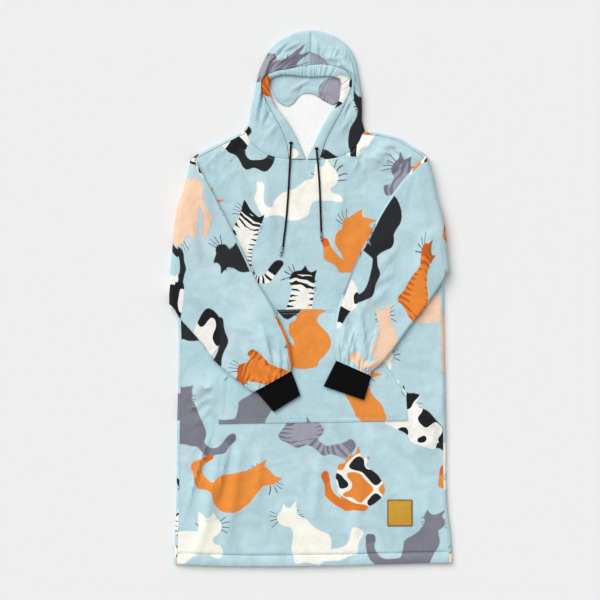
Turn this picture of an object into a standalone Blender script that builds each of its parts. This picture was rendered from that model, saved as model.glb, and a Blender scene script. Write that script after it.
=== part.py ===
"""A long, loose plush hoodie, laid out flat on its back.

Both sleeves are folded in over the front and the hood lies open, face up.
Every number is in millimetres until a mesh is written, x runs to the wearer's
left, y from the hem to the hood and z up from the surface that the hoodie
lies on. Each piece that a maker would cut is a wall of its own.
"""

import math

import bmesh
import bpy
import numpy as np

MM = 0.001
CENTRE_X = -3.85
CENTRE_Y = 2.3

CLOTH = 5.0
AIR = 3.4
BODY = 2 * CLOTH + AIR
ROUND = BODY / 2
BORE = AIR / 2
SEAM = 0.3
LIE = 0.8

FOLD_REACH = 3.0
FOLD_RADIUS = 8.0
FOLD_SLIDE = 18.0
CAP = 4
ARMHOLE_COLUMNS = 11

# Where the rows of cloth lie along a side, from the hem up.
SIDE_PLACES = np.array([0, 0.035, 0.042, 0.12, 0.21, 0.3, 0.39, 0.48, 0.58, 0.68, 0.79, 0.9, 1.0])

CUFF_CLOTH = 3.0
CUFF_HALF = 4.7
CUFF_RIBS = 11
CUFF_RIB_HEIGHT = 0.9
GATHER_WAVES = 4
GATHER_HEIGHT = 2.6

HOOD_HALF = 9.0
HOOD_SWELL = 1.6
CASING = 7.0

POCKET = 3.0
HEM_BAND = 24.0
HEM_RISE = 0.8
PATCH = 1.5

CORD_RADIUS = 2.3
KNOT_RADIUS = 4.6
AGLET_RADIUS = 2.7
AGLET_LENGTH = 21.0

# Outlines as they lie, columns x and y.
SIDE_LEFT = [(-319, -609.5), (-317, -560), (-314.5, -500), (-312, -300), (-308.5, -80), (-311, -8)]
SIDE_RIGHT = [(322, -606), (319.5, -560), (310.5, -480), (307, -300), (302, -40), (301, 40), (297, 76)]
ARMHOLE_LEFT = [
    (-262, 334),
    (-268, 300),
    (-278, 262),
    (-290, 226),
    (-298, 180),
    (-305, 110),
    (-310, 50),
    (-311, -8),
]
ARMHOLE_RIGHT = [(248, 340), (252, 319), (258, 297), (265, 263), (274, 227), (284, 191), (289, 136), (297, 76)]
SHOULDER_LEFT = [(-262, 334), (-219.6, 356.5), (-184, 374), (-160, 387)]
SHOULDER_RIGHT = [(248, 340), (204, 368), (160, 381.5), (121, 386)]
NECK_LEFT = (-153.5, 382.5)
NECK_RIGHT = (115, 379.5)
# The front neck seam, a point for each column of cloth.
NECK = [
    NECK_LEFT,
    (-140, 361),
    (-124, 344),
    (-104, 332),
    (-80, 325),
    (-55, 321.5),
    (-35, 320.5),
    (-15, 320),
    (1, 320.3),
    (17, 320.6),
    (45, 323),
    (70, 330),
    (92, 343),
    (106, 360),
    NECK_RIGHT,
]
HEM = [(-319, -609.5), (-200, -614), (-86, -614.5), (60, -612.5), (200, -609), (322, -606)]
CAP_LEFT = {"top": 8.7, "under": 10.7}
CAP_RIGHT = {"top": 9.0, "under": 10.7}

# Each row is a section of the sleeve after its fold: the end on the sleeve's
# upper edge, the end on its under edge, and how far the middle bows out.
SLEEVE_LEFT = [
    ((-261, 301), (-319, -20), 10),
    ((-244, 271), (-307, -41), 5),
    ((-214, 216), (-291, -60), 0),
    ((-182, 154), (-270, -83), -4),
    ((-154, 98), (-248, -109), -6),
    ((-130, 46), (-228, -138), -4),
    ((-102, -2), (-206, -160), -2),
    ((-86, -29), (-185, -178), 0),
    ((-68, -66), (-166, -192), 0),
    ((-56, -95), (-152, -204), 0),
    ((-50, -125), (-141, -211), 0),
    ((-46.5, -150), (-134, -213), 0),
    ((-48, -165), (-130, -211), 0),
]
SLEEVE_RIGHT = [
    ((247, 316), (303, 50), 8),
    ((221, 289), (290, 27), 4),
    ((190, 250), (270, -2), 0),
    ((156, 198), (248, -33), -4),
    ((132.7, 151), (226, -60), -6),
    ((104, 96.6), (203, -91), -4),
    ((76, 27.6), (182, -119), -2),
    ((57, -22), (164, -141), 0),
    ((50, -65), (151, -153), 0),
    ((48.5, -100), (141, -161), 0),
    ((51, -125), (134, -168), 0),
    ((54, -141), (134, -176), 0),
]
CUFF_LEFT = [((-48.5, -165.8), (-130.2, -211.8)), ((-36.5, -196), (-107, -238)), ((-28, -221), (-89.5, -259))]
CUFF_RIGHT = [((54, -141.8), (134.5, -176.8)), ((39, -172), (126, -206)), ((25, -200), (118.5, -232))]

POCKET_OUTLINE = [(-216, -287), (-208, -186), (-82, -25), (84, -20.5), (215, -221), (219, -280)]

# The casing's outer stitch line and its inner edge, from the V up to the top.
STITCH_LEFT = [
    (-54, 322),
    (-60, 358.8),
    (-75, 395),
    (-91, 425.5),
    (-107, 455),
    (-117, 478),
    (-117.5, 497),
    (-108, 513),
    (-84, 524),
    (-52, 530),
    (-24, 536),
    (-3.6, 538.7),
]
STITCH_RIGHT = [
    (17, 322),
    (33, 366),
    (52.7, 404.8),
    (69.7, 434.7),
    (81, 462),
    (90, 486),
    (89.7, 507),
    (80, 523),
    (60, 533),
    (36, 539),
    (14, 540),
    (-3.6, 538.7),
]
EDGE_LEFT = [
    (-15.4, 321.4),
    (-33, 362.5),
    (-52, 398.6),
    (-71, 425.5),
    (-84.6, 440.7),
    (-94.3, 464.6),
    (-100, 488),
    (-95, 505),
    (-80, 513),
    (-52.4, 514.5),
    (-24, 512),
    (-3.6, 510),
]
EDGE_RIGHT = [
    (-14.2, 321.4),
    (4.8, 358.8),
    (24, 398.6),
    (43, 429),
    (56, 447),
    (64.4, 469),
    (67.9, 490),
    (62, 505),
    (46, 511),
    (28, 512),
    (10, 511),
    (-3.6, 510),
]
CROWN_LEFT = [
    (-160, 387),
    (-147, 407),
    (-141, 440),
    (-136, 462),
    (-132, 482),
    (-129, 500),
    (-124, 520),
    (-114, 545),
    (-98, 573),
    (-66, 601),
    (-30, 615),
    (-3.6, 619),
]
CROWN_RIGHT = [
    (121, 386),
    (114, 412),
    (114, 438),
    (113, 464),
    (110, 490),
    (105, 520),
    (97, 553),
    (84, 579),
    (64, 597),
    (40, 610),
    (15, 617),
    (-3.6, 619),
]
BACK_SEAM = [(-21, 381), (-17, 400), (-13, 420), (-9, 442), (-6, 462), (-3.6, 484)]

FACING_EDGE = [
    (-93, 482),
    (-84.6, 460),
    (-71, 448.5),
    (-58, 444),
    (-45, 450),
    (-33, 463.5),
    (-22, 471.5),
    (-10, 473),
    (1, 471),
    (12.6, 465.5),
    (24, 457.7),
    (35, 452),
    (47, 447),
    (59, 452),
]
FACING_TOP = [(-97, 506), (-60, 524), (0, 527), (45, 523), (62, 500)]
LINING_LEFT = [(-42, 311), (-62, 350), (-88, 400), (-106, 450), (-112, 500), (-84, 545)]
LINING_RIGHT = [(20, 311), (34, 350), (58, 400), (78, 450), (86, 500), (66, 545)]

CORD_LEFT = [
    (-49.7, 352.4, 20.4),
    (-50.6, 338, 19.2),
    (-51.6, 319, 18.6),
    (-52.6, 300, 16.5),
    (-55, 255, 16),
    (-60, 187, 16),
    (-68, 119, 16),
]
CORD_RIGHT = [
    (9.7, 339.4, 19.8),
    (10.6, 330, 19),
    (11.8, 318, 18.6),
    (13.4, 300, 16.5),
    (16, 265, 16),
    (18, 214, 16),
    (20, 155, 16),
]
AGLET_END_LEFT = (-73.6, 98)
AGLET_END_RIGHT = (20.6, 134)

# Long soft folds: from x, y to x, y, then half width and height.
FRONT_FOLDS = [
    (-205, -322, -262, -585, 22, 4.2),
    (-165, -330, -196, -560, 18, 3.0),
    (-120, -335, -128, -480, 16, 2.0),
    (-236, -196, -292, -232, 20, 3.4),
    (236, -236, 286, -330, 20, 4.0),
    (120, -335, 96, -560, 20, 2.2),
    (20, -340, 6, -500, 18, 1.6),
    (-205, 330, -150, 250, 18, 3.4),
    (160, 340, 110, 290, 18, 3.0),
    (-110, 290, -92, 120, 20, 2.0),
    (70, 270, 48, 90, 20, 2.0),
]
SLEEVE_FOLDS = [
    (-250, 268, -238, 180, 16, 3.0),
    (-282, 190, -262, 90, 18, 3.2),
    (-232, 110, -190, 60, 16, 2.6),
    (-215, 20, -160, -18, 14, 2.4),
    (236, 262, 262, 180, 16, 3.0),
    (270, 150, 246, 60, 18, 3.2),
    (196, 120, 150, 70, 16, 2.6),
    (170, 20, 118, -20, 14, 2.4),
]
FLAT_SPOTS = [(200, -490, 62)]


def as_points(rows):
    return np.array(rows, float)


def spacing(points):
    """How far along its line each point lies, from 0 to 1."""
    steps = np.linalg.norm(np.diff(points, axis=0), axis=1)
    return np.concatenate([[0.0], np.cumsum(steps)]) / steps.sum()


def curve(rows, places):
    """Points on a smooth curve through the rows, at places from 0 to 1."""
    points = as_points(rows)
    places = np.atleast_1d(np.asarray(places, float))
    at = spacing(points)
    slope = np.gradient(points, at, axis=0)
    left = np.clip(np.searchsorted(at, places, side="right") - 1, 0, len(at) - 2)
    width = (at[left + 1] - at[left])[:, None]
    u = ((places - at[left]) / (at[left + 1] - at[left]))[:, None]
    return (
        (2 * u**3 - 3 * u**2 + 1) * points[left]
        + (u**3 - 2 * u**2 + u) * width * slope[left]
        + (3 * u**2 - 2 * u**3) * points[left + 1]
        + (u**3 - u**2) * width * slope[left + 1]
    )


def smoothstep(value, low, high):
    t = np.clip((value - low) / (high - low), 0, 1)
    return t * t * (3 - 2 * t)


def from_segment(xy, start, end):
    """Distance from a segment and how far along it the nearest point lies."""
    start = as_points(start)
    run = as_points(end) - start
    along = np.clip(((xy - start) @ run) / (run @ run), 0, 1)
    return np.linalg.norm(xy - start - along[..., None] * run, axis=-1), along


def ridges(rows, xy):
    """Height of the soft folds at each point."""
    total = np.zeros(xy.shape[:-1])
    for x0, y0, x1, y1, width, height in rows:
        distance, along = from_segment(xy, (x0, y0), (x1, y1))
        total += height * np.exp(-((distance / width) ** 2)) * (0.35 + 0.65 * np.sin(math.pi * along))
    return total


def inside(outline, xy):
    """Signed distance to a convex outline, positive inside."""
    points = as_points(outline)
    depth = np.full(xy.shape[:-1], np.inf)
    for start, end in zip(points, np.roll(points, -1, axis=0)):
        run = (end - start) / np.linalg.norm(end - start)
        across = (xy[..., 0] - start[0]) * run[1] - (xy[..., 1] - start[1]) * run[0]
        depth = np.minimum(depth, across)
    return depth


def front_rise(xy):
    """Height of the front's folds over its flat level."""
    calm = 1 - smoothstep(inside(POCKET_OUTLINE, xy), -50, -18)
    for x, y, reach in FLAT_SPOTS:
        calm = calm * smoothstep(np.hypot(xy[..., 0] - x, xy[..., 1] - y), reach, reach + 30)
    return ridges(FRONT_FOLDS, xy) * calm


def rest(xy):
    """Level on which a sleeve or a cuff lies."""
    over_pocket = smoothstep(inside(POCKET_OUTLINE, xy), -60, -16)
    return BODY + front_rise(xy) + (POCKET + SEAM) * over_pocket + LIE


def raised(xy, z):
    return np.concatenate([xy, np.broadcast_to(np.asarray(z, float), xy.shape[:-1])[..., None]], axis=-1)


def coons(left, right, bottom, top):
    """Plan grid filled in from its four edges; rows run up, columns across."""
    v = ((spacing(left) + spacing(right)) / 2)[:, None, None]
    u = ((spacing(bottom) + spacing(top)) / 2)[None, :, None]
    ruled = (1 - u) * left[:, None] + u * right[:, None] + (1 - v) * bottom[None] + v * top[None]
    corners = (
        (1 - u) * (1 - v) * left[0] + u * (1 - v) * right[0] + (1 - u) * v * left[-1] + u * v * right[-1]
    )
    return ruled - corners


def wrap(inset, outline, half=ROUND, wall=CLOTH):
    """Half round from under to over between inset points and the outline."""
    reach = outline - inset
    length = np.linalg.norm(reach, axis=-1, keepdims=True)
    turn = np.linspace(0, math.pi, CAP + 1)
    bow = np.sin(turn)[None, :, None]
    bow[:, [0, -1]] = 0
    rise = np.cos(turn)[None, :]
    outer = inset[:, None] + reach[:, None] * bow
    inner = inset[:, None] + (reach * (length - wall) / length)[:, None] * bow
    return raised(outer, half * (1 - rise)), raised(inner, half - (half - wall) * rise)


def make_material(name, colour, roughness, metallic=0.0):
    material = bpy.data.materials.new(name)
    material.use_nodes = True
    shader = material.node_tree.nodes["Principled BSDF"]
    shader.inputs["Base Color"].default_value = (*colour, 1)
    shader.inputs["Roughness"].default_value = roughness
    shader.inputs["Metallic"].default_value = metallic
    material.diffuse_color = (*colour, 1)
    return material


def finish(bm, name, material, smooth=True):
    mesh = bpy.data.meshes.new(name)
    bm.to_mesh(mesh)
    bm.free()
    add_object(name, mesh, material)
    if smooth:
        mesh.shade_smooth()
        mesh.set_sharp_from_angle(angle=math.radians(50))


def add_object(name, data, material):
    thing = bpy.data.objects.new(name, data)
    data.materials.append(material)
    COLLECTION.objects.link(thing)
    thing.parent = ROOT
    return thing


def add_grids(bm, grids, number):
    """Adds each grid of points as cloth, then sews the grids where they meet."""
    count = 0
    points = []
    for grid in grids:
        rows, columns = grid.shape[:2]
        made = bmesh.ops.create_grid(bm, x_segments=columns - 1, y_segments=rows - 1, size=1)
        for vert, point in zip(made["verts"], grid.reshape(-1, 3)):
            vert[number] = count
            vert.co = point * MM
            points.append(point)
            count += 1
    bmesh.ops.remove_doubles(bm, verts=bm.verts, dist=2e-6)
    return points


def shell(name, patches, material):
    """A wall between two skins, each given as one or more grids of points."""
    bm = bmesh.new()
    number = bm.verts.layers.int.new("number")
    add_grids(bm, [outer for outer, _ in patches], number)
    under = np.concatenate([inner.reshape(-1, 3) for _, inner in patches]) * MM
    made = bmesh.ops.extrude_face_region(bm, geom=bm.faces, use_keep_orig=True)
    for vert in (item for item in made["geom"] if isinstance(item, bmesh.types.BMVert)):
        vert.co = under[vert[number]]
    bmesh.ops.recalc_face_normals(bm, faces=bm.faces)
    finish(bm, name, material)


def sweep(name, rings, material):
    """A solid along closed rings of points, with flat ends."""
    bm = bmesh.new()
    number = bm.verts.layers.int.new("number")
    add_grids(bm, [rings], number)
    ends = [edge for edge in bm.edges if edge.is_boundary]
    bmesh.ops.holes_fill(bm, edges=ends, sides=0)
    bmesh.ops.triangulate(bm, faces=[face for face in bm.faces if len(face.verts) > 4])
    bmesh.ops.recalc_face_normals(bm, faces=bm.faces)
    finish(bm, name, material)


def side_line(rows, places, inward):
    """Outline points of a side and the points set in from them."""
    outline = curve(rows, places)
    return outline, outline + np.array([inward * ROUND, 0])


def armhole(rows, caps):
    """Points of an armhole seam from the underarm up, and its two tips."""
    length = np.linalg.norm(as_points(rows[0]) - as_points(rows[-1]))
    first = 1 - caps["under"] / length
    last = caps["top"] / length
    return curve(rows, np.linspace(first, last, ARMHOLE_COLUMNS + 1))


def shoulder_line(rows, seam_top, neck, count):
    """Outline points of a shoulder and the points set in from them."""
    places = np.linspace(0, 1, count + 1)
    outline = curve(rows, places)
    run = np.gradient(outline, axis=0)
    inward = np.column_stack([run[:, 1], -run[:, 0]]) / np.linalg.norm(run, axis=1)[:, None]
    inward *= np.sign(inward[:, 1:2]) * -1
    inset = outline + inward * ROUND
    inset[0] = seam_top
    inset[-1] = neck
    return outline, inset


def body_edges(side_places, shoulder_count):
    """Plan points of the body's outline, for the left and the right."""
    edges = {}
    for hand, side, hole, caps, shoulder, neck, inward in (
        ("left", SIDE_LEFT, ARMHOLE_LEFT, CAP_LEFT, SHOULDER_LEFT, NECK_LEFT, 1),
        ("right", SIDE_RIGHT, ARMHOLE_RIGHT, CAP_RIGHT, SHOULDER_RIGHT, NECK_RIGHT, -1),
    ):
        outline, inset = side_line(side, side_places, inward)
        inset[-1] = outline[-1] + np.array([inward * ROUND, 2.7])
        seam = armhole(hole, caps)
        shoulder_outline, shoulder_inset = shoulder_line(shoulder, seam[-1], as_points(neck), shoulder_count)
        edges[hand] = {
            "side_outline": outline,
            "side": inset,
            "armhole": seam,
            "shoulder_outline": shoulder_outline,
            "shoulder": shoulder_inset,
            "inward": inward,
        }
    return edges


def back_panel():
    """The back, with the strips of it that wrap round the sides and shoulders."""
    edges = body_edges(SIDE_PLACES, 4)
    left, right = edges["left"], edges["right"]
    nape = left["shoulder"][-1] + np.linspace(0, 1, 9)[1:-1, None] * (right["shoulder"][-1] - left["shoulder"][-1])
    top = np.concatenate([left["shoulder"], nape, right["shoulder"][::-1]])
    hem = curve(HEM, np.linspace(0, 1, len(top)))
    hem = left["side"][0] + (hem - hem[0]) * (right["side"][0][0] - left["side"][0][0]) / (hem[-1][0] - hem[0][0])
    hem[-1] = right["side"][0]
    flat = coons(
        np.concatenate([left["side"], left["armhole"]]),
        np.concatenate([right["side"], right["armhole"]]),
        hem,
        top,
    )
    patches = [(raised(flat, 0), raised(flat, CLOTH))]
    for hand in (left, right):
        gusset = np.array([hand["side"][-1], hand["armhole"][0]])
        tip = np.array([hand["side_outline"][-1]] * 2)
        patches.append(wrap(hand["side"], hand["side_outline"]))
        patches.append(wrap(gusset, tip))
        patches.append(wrap(hand["shoulder"], hand["shoulder_outline"]))
    shell("back_panel", patches, FLEECE)


def front_plan():
    """Plan grid of the front panel, inside the strips of the back."""
    edges = body_edges(SIDE_PLACES, 4)
    lines = []
    tops = []
    for hand in (edges["left"], edges["right"]):
        inward = hand["inward"]
        side = hand["side"] + np.array([inward * SEAM, 0])
        side[-1] += np.array([0, 0.1])
        seam = hand["armhole"].copy()
        seam[0] += np.array([0, 0.45])
        seam[-1] -= np.array([0, 0.45])
        shoulder = hand["shoulder"] + np.array([inward * 0.12, -0.32])
        shoulder[0] = seam[-1]
        lines.append(np.concatenate([side, seam]))
        tops.append(shoulder)
    neck = as_points(NECK)
    tops[0][-1] = neck[0] + np.array([0.2, -0.4])
    tops[1][-1] = neck[-1] + np.array([-0.2, -0.4])
    top = np.concatenate([tops[0], neck[1:-1], tops[1][::-1]])
    hem = curve(HEM, np.linspace(0, 1, len(top)))
    hem = lines[0][0] + (hem - hem[0]) * (lines[1][0][0] - lines[0][0][0]) / (hem[-1][0] - hem[0][0])
    hem[-1] = lines[1][0]
    return coons(lines[0], lines[1], hem, top)


def front_panel():
    """The front: soft folds, and a turned hem that stands a little proud."""
    plan = front_plan()
    level = BODY + front_rise(plan)
    edge = np.ones(plan.shape[1])
    edge[[0, -1]] = 0
    level[:2] += HEM_RISE * edge
    level[:, [0, -1]] = BODY
    shell("front_panel", [(raised(plan, level), raised(plan, level - CLOTH))], FLEECE)


def section(under, top, mids, normal, half, bore, wall):
    """One closed ring of a flattened tube, as two skins.

    The tips are the ends of the section, mids its line of middle points, and
    the ring runs from the upper edge along the side that normal points to.
    """
    turn = np.linspace(0, math.pi, CAP + 1)[1:-1]
    outer = [mids + normal * half]
    inner = [mids + normal * bore]
    for at, tip, sign in ((mids[-1], under, 1), (mids[0], top, -1)):
        reach = tip - at
        length = np.linalg.norm(reach)
        across = normal[-1 if sign == 1 else 0]
        high = half[-1 if sign == 1 else 0]
        small = bore[-1 if sign == 1 else 0]
        cap_out = [at + reach * math.sin(a) + sign * across * high * math.cos(a) for a in turn]
        cap_in = [
            at + reach * ((length - wall) / length) * math.sin(a) + sign * across * small * math.cos(a) for a in turn
        ]
        outer.append(np.array(cap_out))
        inner.append(np.array(cap_in))
        if sign == 1:
            outer.append((mids - normal * half)[::-1])
            inner.append((mids - normal * bore)[::-1])
    outer.append(outer[0][:1])
    inner.append(inner[0][:1])
    return np.concatenate(outer), np.concatenate(inner)


def sleeve_rings(hole, caps, rows, inward, folds):
    """Rings of a sleeve from the armhole, over its fold and down to the cuff."""
    seam = armhole(hole, caps)[::-1]
    top = as_points(hole[0])
    under = as_points(hole[-1])
    along = (under - top) / np.linalg.norm(under - top)
    outward = np.array([-abs(along[1]) * inward, along[0] * inward])
    outward /= np.linalg.norm(outward)
    rings = []
    steps = [(0.0, SEAM), (0.0, FOLD_REACH)] + [(math.radians(a), FOLD_REACH) for a in (30, 60, 90, 120, 150, 180)]
    for angle, reach in steps:
        move = outward * (reach + FOLD_RADIUS * math.sin(angle)) + along * FOLD_SLIDE * angle / math.pi
        z = ROUND + FOLD_RADIUS * (1 - math.cos(angle))
        normal = np.array([*(outward * math.sin(angle)), -math.cos(angle)])
        mids = raised(seam + move, z)
        ends = [np.array([*(end + move), z]) for end in (under, top)]
        count = len(mids)
        half = np.full((count, 1), ROUND)
        bore = np.full((count, 1), BORE)
        rings.append(section(ends[0], ends[1], mids, np.tile(normal, (count, 1)), half, bore, CLOTH))
    high = ROUND + 2 * FOLD_RADIUS
    last = len(rows) - 1
    for index, (upper, lower, bow) in enumerate(rows):
        upper, lower = as_points(upper), as_points(lower)
        chord = lower - upper
        length = np.linalg.norm(chord)
        side = np.array([chord[1], -chord[0]]) / length * inward
        near_end = smoothstep(index, last - 3, last)
        half_end = ROUND - 1.4 * near_end
        cap_length = half_end / length
        s = np.linspace(cap_length, 1 - cap_length, ARMHOLE_COLUMNS + 1)
        plan = upper + s[:, None] * chord + side * (bow * np.sin(math.pi * s))[:, None]
        level = rest(plan) + half_end
        away = np.array([from_segment(point, top + outward * 3, under + outward * 3)[0] for point in plan])
        level = level + (high - level) * np.exp(-((away / 34) ** 2))
        tips = [np.array([*lower, level[-1]]), np.array([*upper, level[0]])]
        mids = raised(plan, level)
        count = len(mids)
        normal = np.tile(np.array([0.0, 0, 1]), (count, 1))
        half = np.full((count, 1), half_end)
        bore = np.full((count, 1), half_end - CLOTH)
        outer, inner = section(tips[0], tips[1], mids, normal, half, bore, CLOTH)
        swell = ridges(folds, plan) * np.sin(math.pi * s) ** 0.5
        wave = 0.5 - 0.5 * np.cos(2 * math.pi * GATHER_WAVES * (s + 0.04 * math.sin(2.1 * index)))
        swell = swell + GATHER_HEIGHT * wave * smoothstep(index, last - 5, last - 1) * (1 - 0.6 * (index == last))
        swell[[0, -1]] = 0
        outer[:count, 2] += swell
        inner[:count, 2] += swell
        rings.append((outer, inner))
    return np.array([outer for outer, _ in rings]), np.array([inner for _, inner in rings])


def cuff_rings(rows, gap):
    """Rings of a ribbed cuff; each rib is a ridge along it."""
    outers, inners = [], []
    fine = [rows[0], rows[1], rows[2]]
    columns = 2 * CUFF_RIBS
    for index, (upper, lower) in enumerate(fine):
        upper, lower = as_points(upper), as_points(lower)
        chord = lower - upper
        length = np.linalg.norm(chord)
        s = np.linspace(CUFF_HALF / length, 1 - CUFF_HALF / length, columns + 1)
        plan = upper + s[:, None] * chord
        if index == 0:
            side = np.array([chord[1], -chord[0]]) / length
            plan = plan + gap * side * np.sign(side[1]) * -1
        level = rest(plan) + CUFF_HALF
        mids = raised(plan, level)
        count = len(mids)
        rib = CUFF_RIB_HEIGHT * (np.arange(count) % 2)[:, None]
        half = np.full((count, 1), CUFF_HALF) - CUFF_RIB_HEIGHT + rib
        bore = np.full((count, 1), CUFF_HALF - CUFF_CLOTH)
        tips = [np.array([*(end + (plan[0] - upper - s[0] * chord)), z]) for end, z in ((lower, level[-1]), (upper, level[0]))]
        outer, inner = section(
            tips[0], tips[1], mids, np.tile(np.array([0.0, 0, 1]), (count, 1)), half, bore, CUFF_CLOTH
        )
        outers.append(outer)
        inners.append(inner)
    return np.array(outers), np.array(inners)


def pocket():
    """The kangaroo pocket, cut straight across and slanted at its openings."""
    a, b, c, d, e, f = as_points(POCKET_OUTLINE)
    rows = 8
    columns = 10
    left = np.concatenate([a + np.linspace(0, 1, 4)[:-1, None] * (b - a), b + np.linspace(0, 1, rows - 2)[:, None] * (c - b)])
    right = np.concatenate([f + np.linspace(0, 1, 4)[:-1, None] * (e - f), e + np.linspace(0, 1, rows - 2)[:, None] * (d - e)])
    across = np.linspace(0, 1, columns + 1)[:, None]
    plan = coons(left, right, a + across * (f - a), c + across * (d - c))
    low = raised(plan, BODY + SEAM)
    high = raised(plan, BODY + SEAM + POCKET)
    shell("pocket", [(high, low)], FLEECE)


def hood_half(name, crown, stitch, neck_rows, neck_tip, inward, half_gap):
    """Half the hood: from the casing's stitch line over the fold and under."""
    crown = as_points(crown)
    stitch = as_points(stitch)
    count = len(crown)
    run = np.gradient(crown, axis=0)
    normal = np.column_stack([run[:, 1], -run[:, 0]]) / np.linalg.norm(run, axis=1)[:, None] * inward
    k = np.arange(count)
    half = ROUND + (HOOD_HALF - ROUND) * smoothstep(k, 0, 3)
    inset = crown + normal * half[:, None]
    inset[-1] = crown[-1] - np.array([0, HOOD_HALF])
    inset[0] = neck_tip
    seam_places = np.clip(k / (count - 1), 0, 1)
    under_end = curve(BACK_SEAM, seam_places)
    across = np.linspace(0, 1, len(neck_rows))
    outers, inners = [], []
    for i in range(count):
        if i == 0:
            over = as_points(neck_rows)
        else:
            ease = over_line(stitch[i], inset[i], across, i, count)
            over = ease
        under = inset[i] + np.linspace(0, 1, 6)[:, None] * (under_end[i] - inset[i])
        full = 2 * half[i]
        swell = HOOD_SWELL * np.sin(math.pi * across) * min(i, 3) / 3
        out_cap, in_cap = wrap(inset[i : i + 1], crown[i : i + 1], half[i], CLOTH)
        outer = np.concatenate([raised(over, full + swell), out_cap[0][::-1][1:-1], raised(under, 0)])
        inner = np.concatenate([raised(over, full + swell - CLOTH), in_cap[0][::-1][1:-1], raised(under, CLOTH)])
        outers.append(outer)
        inners.append(inner)
    outer, inner = np.array(outers), np.array(inners)
    shift = np.tile(np.array([0.22 * inward, 0.32, 0]), (outer.shape[1], 1))
    shift[-1, 0] = 0
    outer[0] += shift
    inner[0] += shift
    for skin in (outer, inner):
        skin[-1, :, 0] -= half_gap * inward
        skin[:, -1, 0] -= half_gap * inward
    shell(name, [(outer, inner)], FLEECE)


def over_line(start, end, across, index, count):
    """Plan line over the hood from the stitch line to the inset fold."""
    return start + across[:, None] * (end - start)


def casing():
    """The gathered casing that the drawcord runs in, one padded band."""
    turn = np.linspace(0, 2 * math.pi, 9)
    rings = []
    count = len(STITCH_LEFT)
    lines = [(STITCH_LEFT, EDGE_LEFT, range(count), 1), (STITCH_RIGHT, EDGE_RIGHT, range(count - 2, -1, -1), -1)]
    for stitch, edge, order, inward in lines:
        for i in order:
            outer_end = as_points(stitch[i]) + np.array([inward * 0.9, 0.0])
            if i > 6:
                outer_end = as_points(stitch[i]) + np.array([inward * 0.3 * (count - 1 - i) / 4, -0.9])
            inner_end = as_points(edge[i])
            rise = smoothstep(i, 0, 3)
            low = BODY - CLOTH + 0.3 + (2 * (HOOD_HALF - ROUND) + 0.3) * rise
            pucker = 1.1 * (i % 2) * (i > 2)
            middle = low + CASING / 2
            centre = (outer_end + inner_end) / 2
            reach = (outer_end - inner_end) / 2
            flat = np.sign(np.cos(turn)) * np.abs(np.cos(turn)) ** 0.75
            z = middle + np.sign(np.sin(turn)) * np.abs(np.sin(turn)) ** 0.75 * CASING / 2
            z = z + pucker * (np.sin(turn) > 0.5)
            rings.append(raised(centre + flat[:, None] * reach, z))
    rings = np.array(rings)
    rings[0, :, 1] += 0.9
    rings[-1, :, 1] += 0.9
    sweep("hood_casing", rings, FLEECE)


def facing():
    """The self-fabric band inside the hood, seen under the brim."""
    lower = as_points(FACING_EDGE)
    upper = curve(FACING_TOP, np.linspace(0, 1, len(lower)))
    across = np.linspace(0, 1, 4)[:, None, None]
    plan = lower[None] * (1 - across) + upper[None] * across
    low = 8.2 + 1.4 * across[..., 0] + 0 * plan[..., 0]
    swell = 0.7 * np.sin(math.pi * across[..., 0]) * (0.5 + 0.5 * np.cos(plan[..., 0] / 9))
    shell("hood_facing", [(raised(plan, low + 3 + swell), raised(plan, low))], FLEECE)


def lining():
    """The sherpa lining where it shows inside the hood and below it."""
    places = np.linspace(0, 1, 10)
    left = curve(LINING_LEFT, places)
    right = curve(LINING_RIGHT, places)
    across = np.linspace(0, 1, 9)[None, :, None]
    plan = left[:, None] * (1 - across) + right[:, None] * across
    low = CLOTH + SEAM
    shell("hood_lining", [(raised(plan, low + 2.6), raised(plan, low))], SHERPA)


def patch():
    """The leather patch above the hem."""
    bm = bmesh.new()
    bmesh.ops.create_cube(bm, size=1)
    bmesh.ops.scale(bm, vec=(0.0584, 0.0616, PATCH * MM), verts=bm.verts)
    bmesh.ops.translate(bm, vec=(0.2008, -0.4918, (BODY + SEAM + PATCH / 2) * MM), verts=bm.verts)
    upright = [edge for edge in bm.edges if abs(edge.verts[0].co.z - edge.verts[1].co.z) > 1e-5]
    bmesh.ops.bevel(bm, geom=upright, offset=0.002, segments=2, profile=0.5, affect="EDGES", material=-1)
    finish(bm, "label_patch", LEATHER, smooth=False)


def cord(name, rows):
    """A drawcord as it lies, from its knot to its metal end."""
    points = curve(rows, np.linspace(0, 1, 22))
    data = bpy.data.curves.new(name, "CURVE")
    data.dimensions = "3D"
    data.bevel_depth = CORD_RADIUS * MM
    data.bevel_resolution = 2
    data.use_fill_caps = True
    line = data.splines.new("POLY")
    line.points.add(len(points) - 1)
    for target, point in zip(line.points, points):
        target.co = (*(point * MM), 1)
    add_object(name, data, CORD_CLOTH)


def knot(name, x, y, z):
    bm = bmesh.new()
    bmesh.ops.create_uvsphere(bm, u_segments=12, v_segments=8, radius=KNOT_RADIUS * MM)
    bmesh.ops.scale(bm, vec=(1, 1, 0.8), verts=bm.verts)
    bmesh.ops.translate(bm, vec=(x * MM, y * MM, z * MM), verts=bm.verts)
    finish(bm, name, CORD_CLOTH)


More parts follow.
